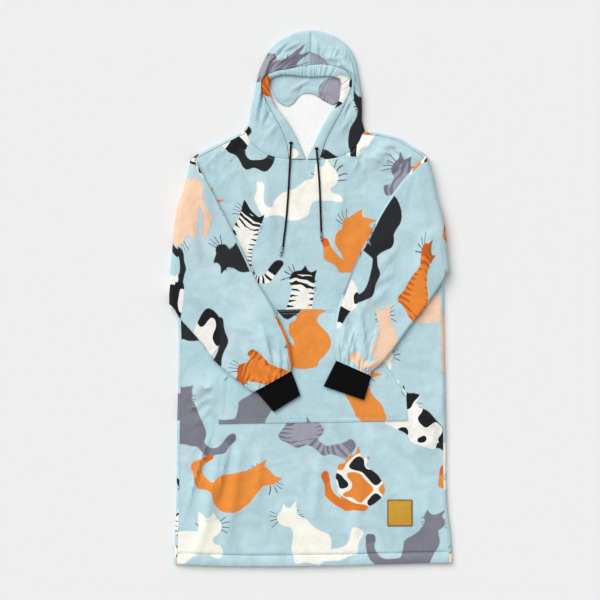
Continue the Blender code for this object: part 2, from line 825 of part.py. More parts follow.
def aglet(name, start, end):
    """The metal tube pressed on a cord's end."""
    run = as_points(end) - as_points(start[:2])
    turn = math.atan2(run[1], run[0])
    bm = bmesh.new()
    bmesh.ops.create_cone(
        bm,
        cap_ends=True,
        segments=12,
        radius1=AGLET_RADIUS * MM,
        radius2=AGLET_RADIUS * MM,
        depth=AGLET_LENGTH * MM,
    )
    thing_middle = as_points(start[:2]) + run / np.linalg.norm(run) * (SEAM + AGLET_LENGTH / 2)
    finish(bm, name, METAL)
    thing = bpy.data.objects[name]
    thing.rotation_euler = (0, math.pi / 2, turn)
    thing.location = (thing_middle[0] * MM, thing_middle[1] * MM, (BODY + AGLET_RADIUS + SEAM) * MM)


for old in list(bpy.data.objects):
    bpy.data.objects.remove(old, do_unlink=True)

COLLECTION = bpy.data.collections.new("plush_hoodie")
bpy.context.scene.collection.children.link(COLLECTION)
ROOT = bpy.data.objects.new("hoodie_root", None)
ROOT.location = (-CENTRE_X * MM, -CENTRE_Y * MM, 0)
COLLECTION.objects.link(ROOT)

FLEECE = make_material("printed_fleece", (0.33, 0.58, 0.64), 0.9)
SHERPA = make_material("white_sherpa", (0.88, 0.88, 0.88), 0.95)
RIB = make_material("black_rib", (0.012, 0.012, 0.013), 0.85)
LEATHER = make_material("mustard_leather", (0.62, 0.33, 0.035), 0.55)
CORD_CLOTH = make_material("black_cord", (0.015, 0.014, 0.015), 0.8)
METAL = make_material("aglet_metal", (0.42, 0.42, 0.44), 0.3, 1.0)

back_panel()
front_panel()
pocket()
shell("sleeve_left", [sleeve_rings(ARMHOLE_LEFT, CAP_LEFT, SLEEVE_LEFT, 1, SLEEVE_FOLDS)], FLEECE)
shell("sleeve_right", [sleeve_rings(ARMHOLE_RIGHT, CAP_RIGHT, SLEEVE_RIGHT, -1, SLEEVE_FOLDS)], FLEECE)
shell("cuff_left", [cuff_rings(CUFF_LEFT, 0.0)], RIB)
shell("cuff_right", [cuff_rings(CUFF_RIGHT, 0.0)], RIB)
hood_half("hood_left", CROWN_LEFT, STITCH_LEFT, NECK[5::-1], as_points(NECK_LEFT), 1, 0.15)
hood_half("hood_right", CROWN_RIGHT, STITCH_RIGHT, NECK[9:], as_points(NECK_RIGHT), -1, 0.15)
casing()
facing()
lining()
patch()
cord("cord_left", CORD_LEFT)
cord("cord_right", CORD_RIGHT)
knot("knot_left", -49.5, 357.5, 21.0)
knot("knot_right", 9.4, 344.5, 20.5)
aglet("aglet_left", CORD_LEFT[-1], AGLET_END_LEFT)
aglet("aglet_right", CORD_RIGHT[-1], AGLET_END_RIGHT)
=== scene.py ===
# %% [markdown]
# # A long plush hoodie, laid out flat on its back
#
# The real one is cut from printed plush fleece, lined with white sherpa and sewn with
# topstitching. The imported model already holds its plain solids, so each step here makes a finer
# piece on one of them, gives it its cloth, and hides the solid that it stands for.

import math

import bmesh
import bpy
import numpy as np
from mathutils import Matrix


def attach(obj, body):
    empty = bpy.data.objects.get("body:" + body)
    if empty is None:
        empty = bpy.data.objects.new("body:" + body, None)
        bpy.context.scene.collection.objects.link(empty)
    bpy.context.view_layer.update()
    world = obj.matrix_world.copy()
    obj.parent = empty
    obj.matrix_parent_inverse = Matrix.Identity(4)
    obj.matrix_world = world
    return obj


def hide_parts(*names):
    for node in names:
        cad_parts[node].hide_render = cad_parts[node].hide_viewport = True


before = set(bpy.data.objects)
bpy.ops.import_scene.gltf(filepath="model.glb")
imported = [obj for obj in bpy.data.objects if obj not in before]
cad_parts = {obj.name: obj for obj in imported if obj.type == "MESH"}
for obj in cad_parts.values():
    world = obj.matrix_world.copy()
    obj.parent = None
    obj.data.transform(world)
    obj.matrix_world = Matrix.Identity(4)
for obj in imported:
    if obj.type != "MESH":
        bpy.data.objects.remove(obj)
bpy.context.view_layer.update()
print(len(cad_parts), "solids to dress")

# %% [markdown]
# ## The camera
#
# A flat lay is photographed from straight above with a long lens, so that the sleeves, which lie
# higher, don't grow. A camera that isn't turned looks down with +Y at the top of the picture.

# %% Camera
VIEW_WIDTH = 1.38
VIEW_DISTANCE = 4.0
VIEW_MIDDLE = (-0.0249, -0.0046)
CAMERA_HEIGHT = 4.012
SENSOR = 36.0

lens = bpy.data.cameras.new("flat_lay_camera")
lens.sensor_width = SENSOR
lens.lens = SENSOR * VIEW_DISTANCE / VIEW_WIDTH
lens.clip_end = 50
camera = bpy.data.objects.new("flat_lay_camera", lens)
camera.location = (*VIEW_MIDDLE, CAMERA_HEIGHT)
bpy.context.scene.collection.objects.link(camera)
bpy.context.scene.camera = camera
print("lens", round(lens.lens, 1), "mm")

# %% [markdown]
# ## Measuring along lines
#
# Every outline is a short table of points in millimetres, taken where the cloth turns. A smooth
# curve through a table can be read as finely as a piece needs. A Bezier curve object could do the
# same, but a function gives the points to the next step at once.

# %% Lines and curves
MM = 0.001
MIDDLE = -3.6
SHIFT = np.array([3.85, -2.3, 0.0])


def as_points(rows):
    return np.array(rows, float)


def strides(points, axis=0):
    """Distances from each point to the next."""
    return np.linalg.norm(np.diff(points, axis=axis), axis=-1)


def spacing(points):
    """How far along its line each point lies, from 0 to 1."""
    steps = strides(points)
    return np.concatenate([[0.0], np.cumsum(steps)]) / steps.sum()


def unit(vectors):
    return vectors / np.linalg.norm(vectors, axis=-1, keepdims=True)


def beside(line):
    """Unit vectors at right angles to a line in plan, to the right of its run."""
    run = unit(np.gradient(line, axis=0))
    return np.column_stack([run[:, 1], -run[:, 0]])


def curve(rows, places):
    """Points on a smooth curve through the rows, at places from 0 to 1."""
    points = as_points(rows)
    places = np.atleast_1d(np.asarray(places, float))
    at = spacing(points)
    slope = np.gradient(points, at, axis=0)
    left = np.clip(np.searchsorted(at, places, side="right") - 1, 0, len(at) - 2)
    width = (at[left + 1] - at[left])[:, None]
    u = ((places - at[left]) / (at[left + 1] - at[left]))[:, None]
    return (
        (2 * u**3 - 3 * u**2 + 1) * points[left]
        + (u**3 - 2 * u**2 + u) * width * slope[left]
        + (3 * u**2 - 2 * u**3) * points[left + 1]
        + (u**3 - u**2) * width * slope[left + 1]
    )


def between_rows(rows, index):
    """A table read at row numbers that may fall between its rows."""
    points = as_points(rows)
    return curve(points, np.interp(index, np.arange(len(points)), spacing(points)))


def smoothstep(value, low, high):
    t = np.clip((value - low) / (high - low), 0, 1)
    return t * t * (3 - 2 * t)


def hill(distance, width):
    """A smooth hill, 1 where the distance is 0 and low beyond its width."""
    return np.exp(-((distance / width) ** 2))


def finer(places, parts):
    """The same places with each gap between two of them divided into parts."""
    index = np.linspace(0, len(places) - 1, (len(places) - 1) * parts + 1)
    return np.interp(index, np.arange(len(places)), places)


# %% [markdown]
# ## From points to pieces
#
# A cloth piece is a grid of points pulled into shape, then extruded to its inner skin, which makes
# a closed wall. Its UV map holds where each point was on the cut cloth, in metres, so the print
# runs over a piece as it does over real cloth and is cut off at each seam.

# %% Forms
def keep(form, name, node, slot, material, sharp=50):
    """Makes a finished form an object that stands for a solid."""
    mesh = bpy.data.meshes.new(name)
    form.to_mesh(mesh)
    form.free()
    mesh.materials.append(material)
    mesh.shade_smooth()
    mesh.set_sharp_from_angle(angle=math.radians(sharp))
    piece = bpy.data.objects.new(name, mesh)
    bpy.context.scene.collection.objects.link(piece)
    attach(piece, "root")
    if node:
        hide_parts(node)
    print(name, len(mesh.polygons), "faces")
    return piece


def lay_grid(form, points, cut, first):
    """Pulls a new grid into shape and writes its place on the cut cloth."""
    number = form.verts.layers.int["number"]
    cloth = form.loops.layers.uv["cloth"]
    rows, columns = points.shape[:2]
    made = bmesh.ops.create_grid(form, x_segments=columns - 1, y_segments=rows - 1, size=1)
    flat = (points.reshape(-1, 3) + SHIFT) * MM
    spots = cut.reshape(-1, 2) * MM
    for index, vert in enumerate(made["verts"]):
        vert.co = flat[index]
        vert[number] = first + index
        for loop in vert.link_loops:
            loop[cloth].uv = spots[index]
    return first + len(flat)


def cloth_form(grids):
    """A sheet of one or more grids, sewn where they meet."""
    form = bmesh.new()
    form.verts.layers.int.new("number")
    form.loops.layers.uv.new("cloth")
    first = 0
    for points, cut in grids:
        first = lay_grid(form, points, cut, first)
    bmesh.ops.remove_doubles(form, verts=form.verts, dist=2e-6)
    return form


def cloth_wall(patches):
    """A closed wall between an outer and an inner skin."""
    form = cloth_form([(outer, cut) for outer, inner, cut in patches])
    number = form.verts.layers.int["number"]
    under = np.concatenate([inner.reshape(-1, 3) for outer, inner, cut in patches])
    under = (under + SHIFT) * MM
    made = bmesh.ops.extrude_face_region(form, geom=form.faces, use_keep_orig=True)
    for item in made["geom"]:
        if isinstance(item, bmesh.types.BMVert):
            item.co = under[item[number]]
    bmesh.ops.recalc_face_normals(form, faces=form.faces)
    return form


def closed_tube(rings, cut):
    """A solid along closed rings of points, with flat ends."""
    form = cloth_form([(rings, cut)])
    ends = [edge for edge in form.edges if edge.is_boundary]
    bmesh.ops.holes_fill(form, edges=ends, sides=0)
    bmesh.ops.recalc_face_normals(form, faces=form.faces)
    return form


def rings_along(path, radius, sides):
    """Rings round a path that don't twist, and their places along and around it."""
    path = as_points(path)
    run = unit(np.gradient(path, axis=0))
    side = np.cross(run[0], [0.13, 0.21, 0.97])
    turn = np.linspace(0, 2 * math.pi, sides + 1)
    rings = []
    for point, ahead in zip(path, run):
        side = unit(side - ahead * (side @ ahead))
        up = np.cross(side, ahead)
        rings.append(point + radius * (np.cos(turn)[:, None] * side + np.sin(turn)[:, None] * up))
    length = spacing(path) * strides(path).sum()
    around = turn * radius
    cut = np.stack(np.broadcast_arrays(around[None, :], length[:, None]), axis=-1)
    return np.array(rings), cut


# %% [markdown]
# ## Colours and nodes
#
# Colours are easiest to choose as sRGB hex values, but a shader works in linear light, so one
# function turns them. Another adds a node and feeds it with values or links.

# %% Node helpers
def colour(code):
    """An sRGB hex value as the linear colour that a shader takes."""
    parts = [int(code[at : at + 2], 16) / 255 for at in (0, 2, 4)]
    return (*[p / 12.92 if p <= 0.04045 else ((p + 0.055) / 1.055) ** 2.4 for p in parts], 1.0)


def feed(node, inputs):
    """Sets a node's inputs, by name or in order, and links those that another node gives."""
    for socket, value in inputs.items() if isinstance(inputs, dict) else enumerate(inputs):
        if isinstance(value, bpy.types.NodeSocket):
            node.id_data.links.new(value, node.inputs[socket])
        else:
            node.inputs[socket].default_value = value


def add(tree, kind, inputs=(), **settings):
    """Adds a node and gives back its first live output. After a dot comes its operation or type."""
    kind, _, mode = kind.partition(".")
    made = tree.nodes.new(kind if kind.startswith("Node") else "ShaderNode" + kind)
    if mode:
        settings["data_type" if kind == "Mix" else "operation"] = mode
    for key, value in settings.items():
        setattr(made, key, value)
    feed(made, inputs)
    return next((socket for socket in made.outputs if socket.enabled), made)


def new_material(name, look):
    """A material with a Principled shader set to look, and its node tree."""
    material = bpy.data.materials.new(name)
    material.use_nodes = True
    shader = material.node_tree.nodes["Principled BSDF"]
    feed(shader, look)
    material.diffuse_color = shader.inputs["Base Color"].default_value
    print("material", name)
    return material, material.node_tree, shader


# %% [markdown]
# ## Cord and knots
#
# The drawcord is a braided polyester cord about 5 mm thick. A braid shows as two sets of slanting
# strands, which come from one wave along the cord plus one around it, and the same the other way.

# %% Braided cord material
cord_cloth, tree, shader = new_material(
    "braided_polyester_black",
    {"Base Color": colour("141316"), "Roughness": 0.8, "Specular IOR Level": 0.3},
)
STRAND = 2.4  # mm between strands; the real 0.8 mm would not show
CORD_RADIUS = 2.3
along_cord = add(tree, "UVMap", uv_map="cloth")
parts = add(tree, "SeparateXYZ", [along_cord])
around = add(tree, "Math.MULTIPLY", [parts, 3 / (CORD_RADIUS * MM)])
length = add(tree, "Math.MULTIPLY", [parts.node.outputs[1], 6.28 / (STRAND * MM)])
one_way = add(tree, "Math.ADD", [around, length])
other_way = add(tree, "Math.SUBTRACT", [around, length])
one_wave = add(tree, "Math.SINE", [one_way])
other_wave = add(tree, "Math.SINE", [other_way])
braid = add(tree, "Math.MAXIMUM", [one_wave, other_wave])
# The strands are painted lighter on their ridges and darker in the grooves between them, as painted shade
# that follows the braid's bump.
braid_painted_shade = add(tree, "Mix.RGBA", {0: braid, 6: colour("0B0A0D"), 7: colour("1D1C20")})
raised_braid = add(tree, "Bump", {"Strength": 0.8, "Distance": 0.0004, "Height": braid})
feed(shader, {"Base Color": braid_painted_shade, "Normal": raised_braid})
print("braid drawn at", STRAND, "mm")

# %% [markdown]
# The ends hang free from their knots over the front. Each is a tube along a smooth line, because
# a mesh tube can carry its own UV map for the braid. The knot is a short overhand knot.

# %% Cords and knots
CORD_LEFT = [
    (-49.7, 352.4, 20.4), (-50.6, 338, 19.2), (-51.6, 319, 18.6), (-52.6, 300, 16.5), (-55, 255, 16),
    (-60, 187, 16), (-68, 119, 16),
]
CORD_RIGHT = [
    (9.7, 339.4, 19.8), (10.6, 330, 19), (11.8, 318, 18.6), (13.4, 300, 16.5), (16, 265, 16),
    (18, 214, 16), (20, 155, 16),
]
CORDS = {"left": CORD_LEFT, "right": CORD_RIGHT}
KNOTS = {"left": (-49.5, 357.5, 21.0), "right": (9.4, 344.5, 20.5)}
KNOT_SIZE = 1.02
KNOT_RADIUS = 1.75


def knot_path(middle):
    """An overhand knot, drawn tight: the line crosses itself three times."""
    t = np.linspace(0, 2 * math.pi * 0.98, 64)
    x = np.sin(t) + 2 * np.sin(2 * t)
    y = np.cos(t) - 2 * np.cos(2 * t)
    z = -np.sin(3 * t)
    return np.stack([x, y, 1.05 * z], axis=-1) * KNOT_SIZE + as_points(middle)


cord_pieces = {}
for hand, rows in CORDS.items():
    path = curve(rows, np.linspace(0, 1, 36))
    rings, cut = rings_along(path, CORD_RADIUS, 12)
    piece = keep(closed_tube(rings, cut), f"drawcord_{hand}", f"cord_{hand}", "cord", cord_cloth)
    rings, cut = rings_along(knot_path(KNOTS[hand]), KNOT_RADIUS, 10)
    knot = keep(closed_tube(rings, cut), f"overhand_knot_{hand}", f"knot_{hand}", "cord", cord_cloth)
    reach = strides(path).sum()
    cord_pieces[hand] = (piece, knot, (path + SHIFT) * MM, reach * MM)
    print("cord", hand, round(reach, 1), "mm")

# %% [markdown]
# ## Metal ends
#
# An aglet is a thin steel sleeve, rolled and crimped on the cord. A turned profile makes it: half
# an outline spun once round its own line, with two crimped grooves.

# %% Aglets
steel, tree, shader = new_material(
    "brushed_steel_grey", {"Base Color": colour("8F8F92"), "Metallic": 1.0, "Roughness": 0.32}
)
scratched = add(tree, "TexCoord").node.outputs["Object"]
grain = add(tree, "TexNoise", {"Vector": scratched, "Scale": 900.0, "Detail": 2.0})
worn = add(tree, "MapRange", {"Value": grain, "To Min": 0.26, "To Max": 0.42})
feed(shader, {"Roughness": worn})

AGLET_RADIUS = 2.7
AGLET_PROFILE = [
    (0.0, 0.4), (2.3, 0.0), (2.62, 0.25), (2.7, 0.8), (2.7, 4.2), (2.4, 4.9), (2.4, 5.5), (2.7, 6.2),
    (2.7, 14.8), (2.4, 15.5), (2.4, 16.1), (2.7, 16.8), (2.7, 20.3), (2.55, 20.8), (2.1, 21.0),
    (0.0, 20.7),
]
AGLET_LEVEL = 13.4
AGLET_ENDS = {"left": (-73.6, 98), "right": (20.6, 134)}


def aglet(hand, start):
    """A crimped sleeve whose axis goes on where the cord ends."""
    start = as_points(start[:2])
    run = unit(as_points(AGLET_ENDS[hand]) - start)
    form = bmesh.new()
    for radius, height in AGLET_PROFILE:
        form.verts.new((radius * MM, 0, height * MM))
    form.verts.ensure_lookup_table()
    for low, high in zip(form.verts[:-1], form.verts[1:]):
        form.edges.new((low, high))
    bmesh.ops.spin(
        form, geom=form.verts[:] + form.edges[:], cent=(0, 0, 0), axis=(0, 0, 1), angle=2 * math.pi,
        steps=20, use_merge=True,
    )
    bmesh.ops.remove_doubles(form, verts=form.verts, dist=1e-6)
    bmesh.ops.recalc_face_normals(form, faces=form.faces)
    middle = (np.array([*(start + run * 0.3), AGLET_LEVEL + AGLET_RADIUS + 0.3]) + SHIFT) * MM
    turn = Matrix.Rotation(math.atan2(run[1], run[0]), 4, "Z") @ Matrix.Rotation(math.pi / 2, 4, "Y")
    bmesh.ops.transform(form, matrix=Matrix.Translation(middle) @ turn, verts=form.verts)
    return keep(form, f"crimped_end_{hand}", f"aglet_{hand}", "aglet", steel, sharp=35)


for hand, rows in CORDS.items():
    piece, knot, path, reach = cord_pieces[hand]
    end = aglet(hand, rows[-1])

# %% [markdown]
# ## The print
#
# The cloth is polyester plush, dyed pale blue and printed with cats in orange, black, cream, peach
# and greys. The cats here are a plain design of their own: each is nine tapered strokes,
# which are cheap to draw in a shader. A stroke is a line between two circles, and how far a point
# lies from it says whether the point is inked.

# %% One tapered stroke
FLAT = (1, 1, 0)


def new_group(name, **sockets):
    """An empty node group with vector inputs, number inputs and number outputs."""
    tree = bpy.data.node_groups.new(name, "ShaderNodeTree")
    for key, way, kind in (
        ("points", "INPUT", "Vector"), ("picks", "INPUT", "Float"), ("gives", "OUTPUT", "Float")
    ):
        for socket in sockets.get(key, ()):
            tree.interface.new_socket(socket, in_out=way, socket_type="NodeSocket" + kind)
    return tree


def draw_stroke(tree):
    """Start and End hold x, y and a radius; Point holds x, y and nothing."""
    given = add(tree, "NodeGroupInput").node.outputs
    run = add(tree, "VectorMath.SUBTRACT", [given["End"], given["Start"]])
    off = add(tree, "VectorMath.SUBTRACT", [given["Point"], given["Start"]])
    flat_run = add(tree, "VectorMath.MULTIPLY", [run, FLAT])
    reach = add(tree, "VectorMath.DOT_PRODUCT", [off, flat_run])
    whole = add(tree, "VectorMath.DOT_PRODUCT", [flat_run, flat_run])
    along = add(tree, "Math.DIVIDE", [reach, whole])
    held = add(tree, "Clamp", [along])
    back = add(tree, "VectorMath.SCALE", {0: run, "Scale": held})
    left = add(tree, "VectorMath.SUBTRACT", [off, back])
    flat = add(tree, "VectorMath.MULTIPLY", [left, FLAT])
    gap = add(tree, "VectorMath.LENGTH", [flat])
    radius = add(tree, "SeparateXYZ", [left]).node.outputs[2]
    distance = add(tree, "Math.ADD", [gap, radius])
    add(tree, "NodeGroupOutput", [distance, along])


stroke_tree = new_group("tapered_stroke", points=["Point", "Start", "End"], gives=["Distance", "Along"])
draw_stroke(stroke_tree)
print(len(stroke_tree.nodes), "nodes in a stroke")

# %% [markdown]
# A pose is a table of strokes in millimetres: x, y and half the width at both ends. Two poses go
# into one drawing, and a number from 0 to 1 picks one of them, so two drawings give four cats.

# %% Four poses
STROKES = [
    "body", "head", "near_ear", "far_ear", "front_leg", "hind_leg", "tail_root", "tail_middle",
    "tail_end",
]
# How softly each stroke melts into the body, in metres.
MELTS = {"head": 0.016, "front_leg": 0.013, "hind_leg": 0.012, "near_ear": 0.006, "far_ear": 0.006}
TAIL_MELT = 0.012
RUMP_MELT = 0.008
SITTING = [
    ((-2, -20, 34), (6, 20, 21)), ((8, 46, 18), (16, 46, 17)), ((-3, 58, 8), (-9, 73, 1)),
    ((26, 58, 8), (33, 72, 1)), ((8, -30, 22), (14, -38, 16)), ((-18, -36, 17), (-8, -40, 15)),
    ((-24, -44, 8), (-52, -54, 8)), ((-52, -54, 8), (-72, -38, 8)), ((-72, -38, 8), (-76, -10, 7.5)),
]
CURLED = [
    ((-10, 0, 35), (14, 2, 33)), ((34, 24, 19), (40, 20, 17)), ((25, 40, 8), (19, 53, 1)),
    ((43, 38, 8), (50, 50, 1)), ((28, -16, 12), (42, -8, 10)), ((-20, -18, 20), (0, -26, 14)),
    ((-38, -26, 9), (-12, -50, 9)), ((-12, -50, 9), (26, -52, 8.5)), ((26, -52, 8.5), (54, -40, 7.5)),
]
WATCHING = [
    ((-10, -20, 31), (8, 22, 17)), ((20, 44, 17), (29, 42, 14)), ((10, 56, 8), (6, 71, 1)),
    ((28, 56, 7), (33, 69, 1)), ((14, 8, 12), (20, -44, 9)), ((-14, -36, 18), (16, -46, 8)),
    ((-34, -40, 8), (-60, -46, 8)), ((-60, -46, 8), (-84, -34, 8)), ((-84, -34, 8), (-100, -8, 7.5)),
]
LYING = [
    ((-34, -8, 26), (22, -4, 23)), ((42, 20, 18), (49, 18, 16)), ((33, 34, 8), (28, 48, 1)),
    ((51, 33, 8), (57, 46, 1)), ((26, -18, 11), (54, -24, 9)), ((-38, -18, 17), (-14, -26, 10)),
    ((-54, -16, 8.5), (-78, -8, 8)), ((-78, -8, 8), (-90, 14, 8)), ((-90, 14, 8), (-80, 38, 7.5)),
]
WHISKERS = 3.1
WHISKER_SPREAD = 0.55
WHISKER_WIDTH = 0.0022
WHISKER_LENGTH = 0.033


def draw_cat(name, first, second):
    """A group that tells how far a point is from a cat, and what lies there."""
    outputs = ["Ink", "Body", "Along", "Tail", "Tail Along", "Whisker"]
    tree = new_group(name, points=["Point"], picks=["Pose"], gives=outputs)
    given = add(tree, "NodeGroupInput").node.outputs
    drawn = {}
    for stroke, one, other in zip(STROKES, first, second):
        ends = []
        for pair in zip(one, other):
            low, high = ([value * MM for value in end] for end in pair)
            ends.append(add(tree, "Mix.VECTOR", {0: given["Pose"], 4: low, 5: high}))
        made = add(tree, "Group", node_tree=stroke_tree)
        feed(made.node, [given["Point"], *ends])
        drawn[stroke] = (made, made.node.outputs["Along"], ends[1])
    whole = drawn["body"][0]
    for stroke, melt in MELTS.items():
        whole = add(tree, "Math.SMOOTH_MIN", [whole, drawn[stroke][0], melt])
    tail = drawn["tail_root"][0]
    steps = add(tree, "Clamp", [drawn["tail_root"][1]])
    for stroke in ("tail_middle", "tail_end"):
        tail = add(tree, "Math.SMOOTH_MIN", [tail, drawn[stroke][0], TAIL_MELT])
        step = add(tree, "Clamp", [drawn[stroke][1]])
        steps = add(tree, "Math.ADD", [steps, step])
    ink = add(tree, "Math.SMOOTH_MIN", [whole, tail, RUMP_MELT])
    off = add(tree, "VectorMath.SUBTRACT", [given["Point"], drawn["head"][2]])
    flat = add(tree, "VectorMath.MULTIPLY", [off, FLAT])
    reach = add(tree, "VectorMath.LENGTH", [flat])
    parts = add(tree, "SeparateXYZ", [flat]).node.outputs
    angle = add(tree, "Math.ARCTAN2", [parts[1], parts[0]])
    fan = add(tree, "Math.MULTIPLY", [angle, WHISKERS])
    saw = add(tree, "Math.FRACT", [fan])
    centred = add(tree, "Math.SUBTRACT", [saw, 0.5])
    away = add(tree, "Math.ABSOLUTE", [centred])
    width = add(tree, "Math.MULTIPLY", [away, reach])
    thin = add(tree, "Math.LESS_THAN", [width, WHISKER_WIDTH])
    level = add(tree, "Math.ABSOLUTE", [parts[1]])
    wedge = add(tree, "Math.MULTIPLY", [reach, WHISKER_SPREAD])
    sideways = add(tree, "Math.LESS_THAN", [level, wedge])
    short = add(tree, "Math.LESS_THAN", [reach, WHISKER_LENGTH])
    both = add(tree, "Math.MULTIPLY", [thin, sideways])
    whisker = add(tree, "Math.MULTIPLY", [both, short])
    add(tree, "NodeGroupOutput", [ink, drawn["body"][0], drawn["body"][1], tail, steps, whisker])
    return tree


cat_drawings = [
    draw_cat("sitting_or_curled_cat", SITTING, CURLED), draw_cat("watching_or_lying_cat", WATCHING, LYING)
]
print([len(tree.nodes) for tree in cat_drawings], "nodes in a drawing")

# %% [markdown]
# The cats are scattered on two square nets, one shifted by half a square. Random numbers for
# each square turn, flip and move its cat a little, and pick its pose and one of ten coats. The
# real cats are about 200 mm long with their tails and stand about 180 mm apart.

# %% Coats and printed plush
NET = 0.27
CAT_SIZE = 1.22
LEAN = 0.95
LOOSE = 0.1
STRIPES = 27.0
TAIL_RINGS = 15.0
TAIL_TIP = 2.62
# share, coat, marks, second marks, tail, tail tip, and the kind of marks: 0 none, 1 stripes, 2 patches
COATS = [
    (2.2, "EA8836", "C25F22", "EA8836", "EC8A3C", "D9622B", 1),
    (1.9, "2C2D30", "1D1E20", "2C2D30", "28292C", "222326", 0),
    (1.4, "FBF9EE", "F0D9C8", "FBF9EE", "FBF9EE", "FBF9EE", 0),
    (1.3, "F4CFB3", "E9B796", "F4CFB3", "F4CFB3", "F2C8A8", 0),
    (1.0, "7F808A", "6C6D77", "7F808A", "7F808A", "72737D", 0),
    (0.9, "A3A1AE", "7D7A88", "A3A1AE", "A19FAC", "84818E", 1),
    (0.9, "F6F4EC", "212225", "F6F4EC", "F6F4EC", "212225", 1),
    (0.9, "F5F3EC", "1F2023", "F5F3EC", "2A2B2E", "2A2B2E", 2),
    (0.8, "F7F2E8", "E88B3E", "252629", "E37E33", "DB6B2A", 2),
    (0.8, "EC9140", "D9702B", "EC9140", "EC9140", "DB6B2A", 0),
]
GROUND = "B9D7DE"
INK_EDGE = 0.0009


def fill_ramp(ramp, values):
    """A stepped ramp with one colour for each coat, as wide as its share."""
    ramp.interpolation = "CONSTANT"
    shares = np.array([row[0] for row in COATS])
    starts = np.concatenate([[0.0], np.cumsum(shares)[:-1]]) / shares.sum()
    for index, (start, value) in enumerate(zip(starts, values)):
        stop = ramp.elements[index] if index < 2 else ramp.elements.new(start)
        stop.position = start
        stop.color = value


def scatter(tree, spot, drawing, shift, seed):
    """Puts one drawing on a net of squares, a different cat in each."""
    net = add(tree, "VectorMath.MULTIPLY_ADD", [spot, (1 / NET, 1 / NET, 0), (shift, shift, 0)])
    square = add(tree, "VectorMath.FLOOR", [net])
    keyed = add(tree, "VectorMath.ADD", [square, (0.37, 0.61, seed)])
    chance = add(tree, "TexWhiteNoise", {"Vector": keyed}).node.outputs
    three = add(tree, "SeparateXYZ", [chance["Color"]]).node.outputs
    inner = add(tree, "VectorMath.SUBTRACT", [net, square])
    centred = add(tree, "VectorMath.SUBTRACT", [inner, (0.5, 0.5, 0)])
    loose = add(tree, "VectorMath.SUBTRACT", [chance["Color"], (0.5, 0.5, 0)])
    moved = add(tree, "VectorMath.MULTIPLY_ADD", [loose, (LOOSE, LOOSE, 0), centred])
    sized = add(tree, "VectorMath.SCALE", {0: moved, "Scale": NET / CAT_SIZE})
    lean = add(tree, "MapRange", {"Value": three[0], "To Min": -LEAN, "To Max": LEAN})
    turned = add(tree, "VectorRotate", {"Vector": sized, "Angle": lean}, rotation_type="Z_AXIS")
    facing = add(tree, "Math.GREATER_THAN", [three[1], 0.5])
    hand = add(tree, "MapRange", {"Value": facing, "To Min": -1.0, "To Max": 1.0})
    mirror = add(tree, "CombineXYZ", [hand, 1.0, 0.0])
    point = add(tree, "VectorMath.MULTIPLY", [turned, mirror])
    pose = add(tree, "Math.GREATER_THAN", [three[2], 0.5])
    cat = add(tree, "Group", {"Point": point, "Pose": pose}, node_tree=drawing).node
    return cat.outputs, chance["Value"]


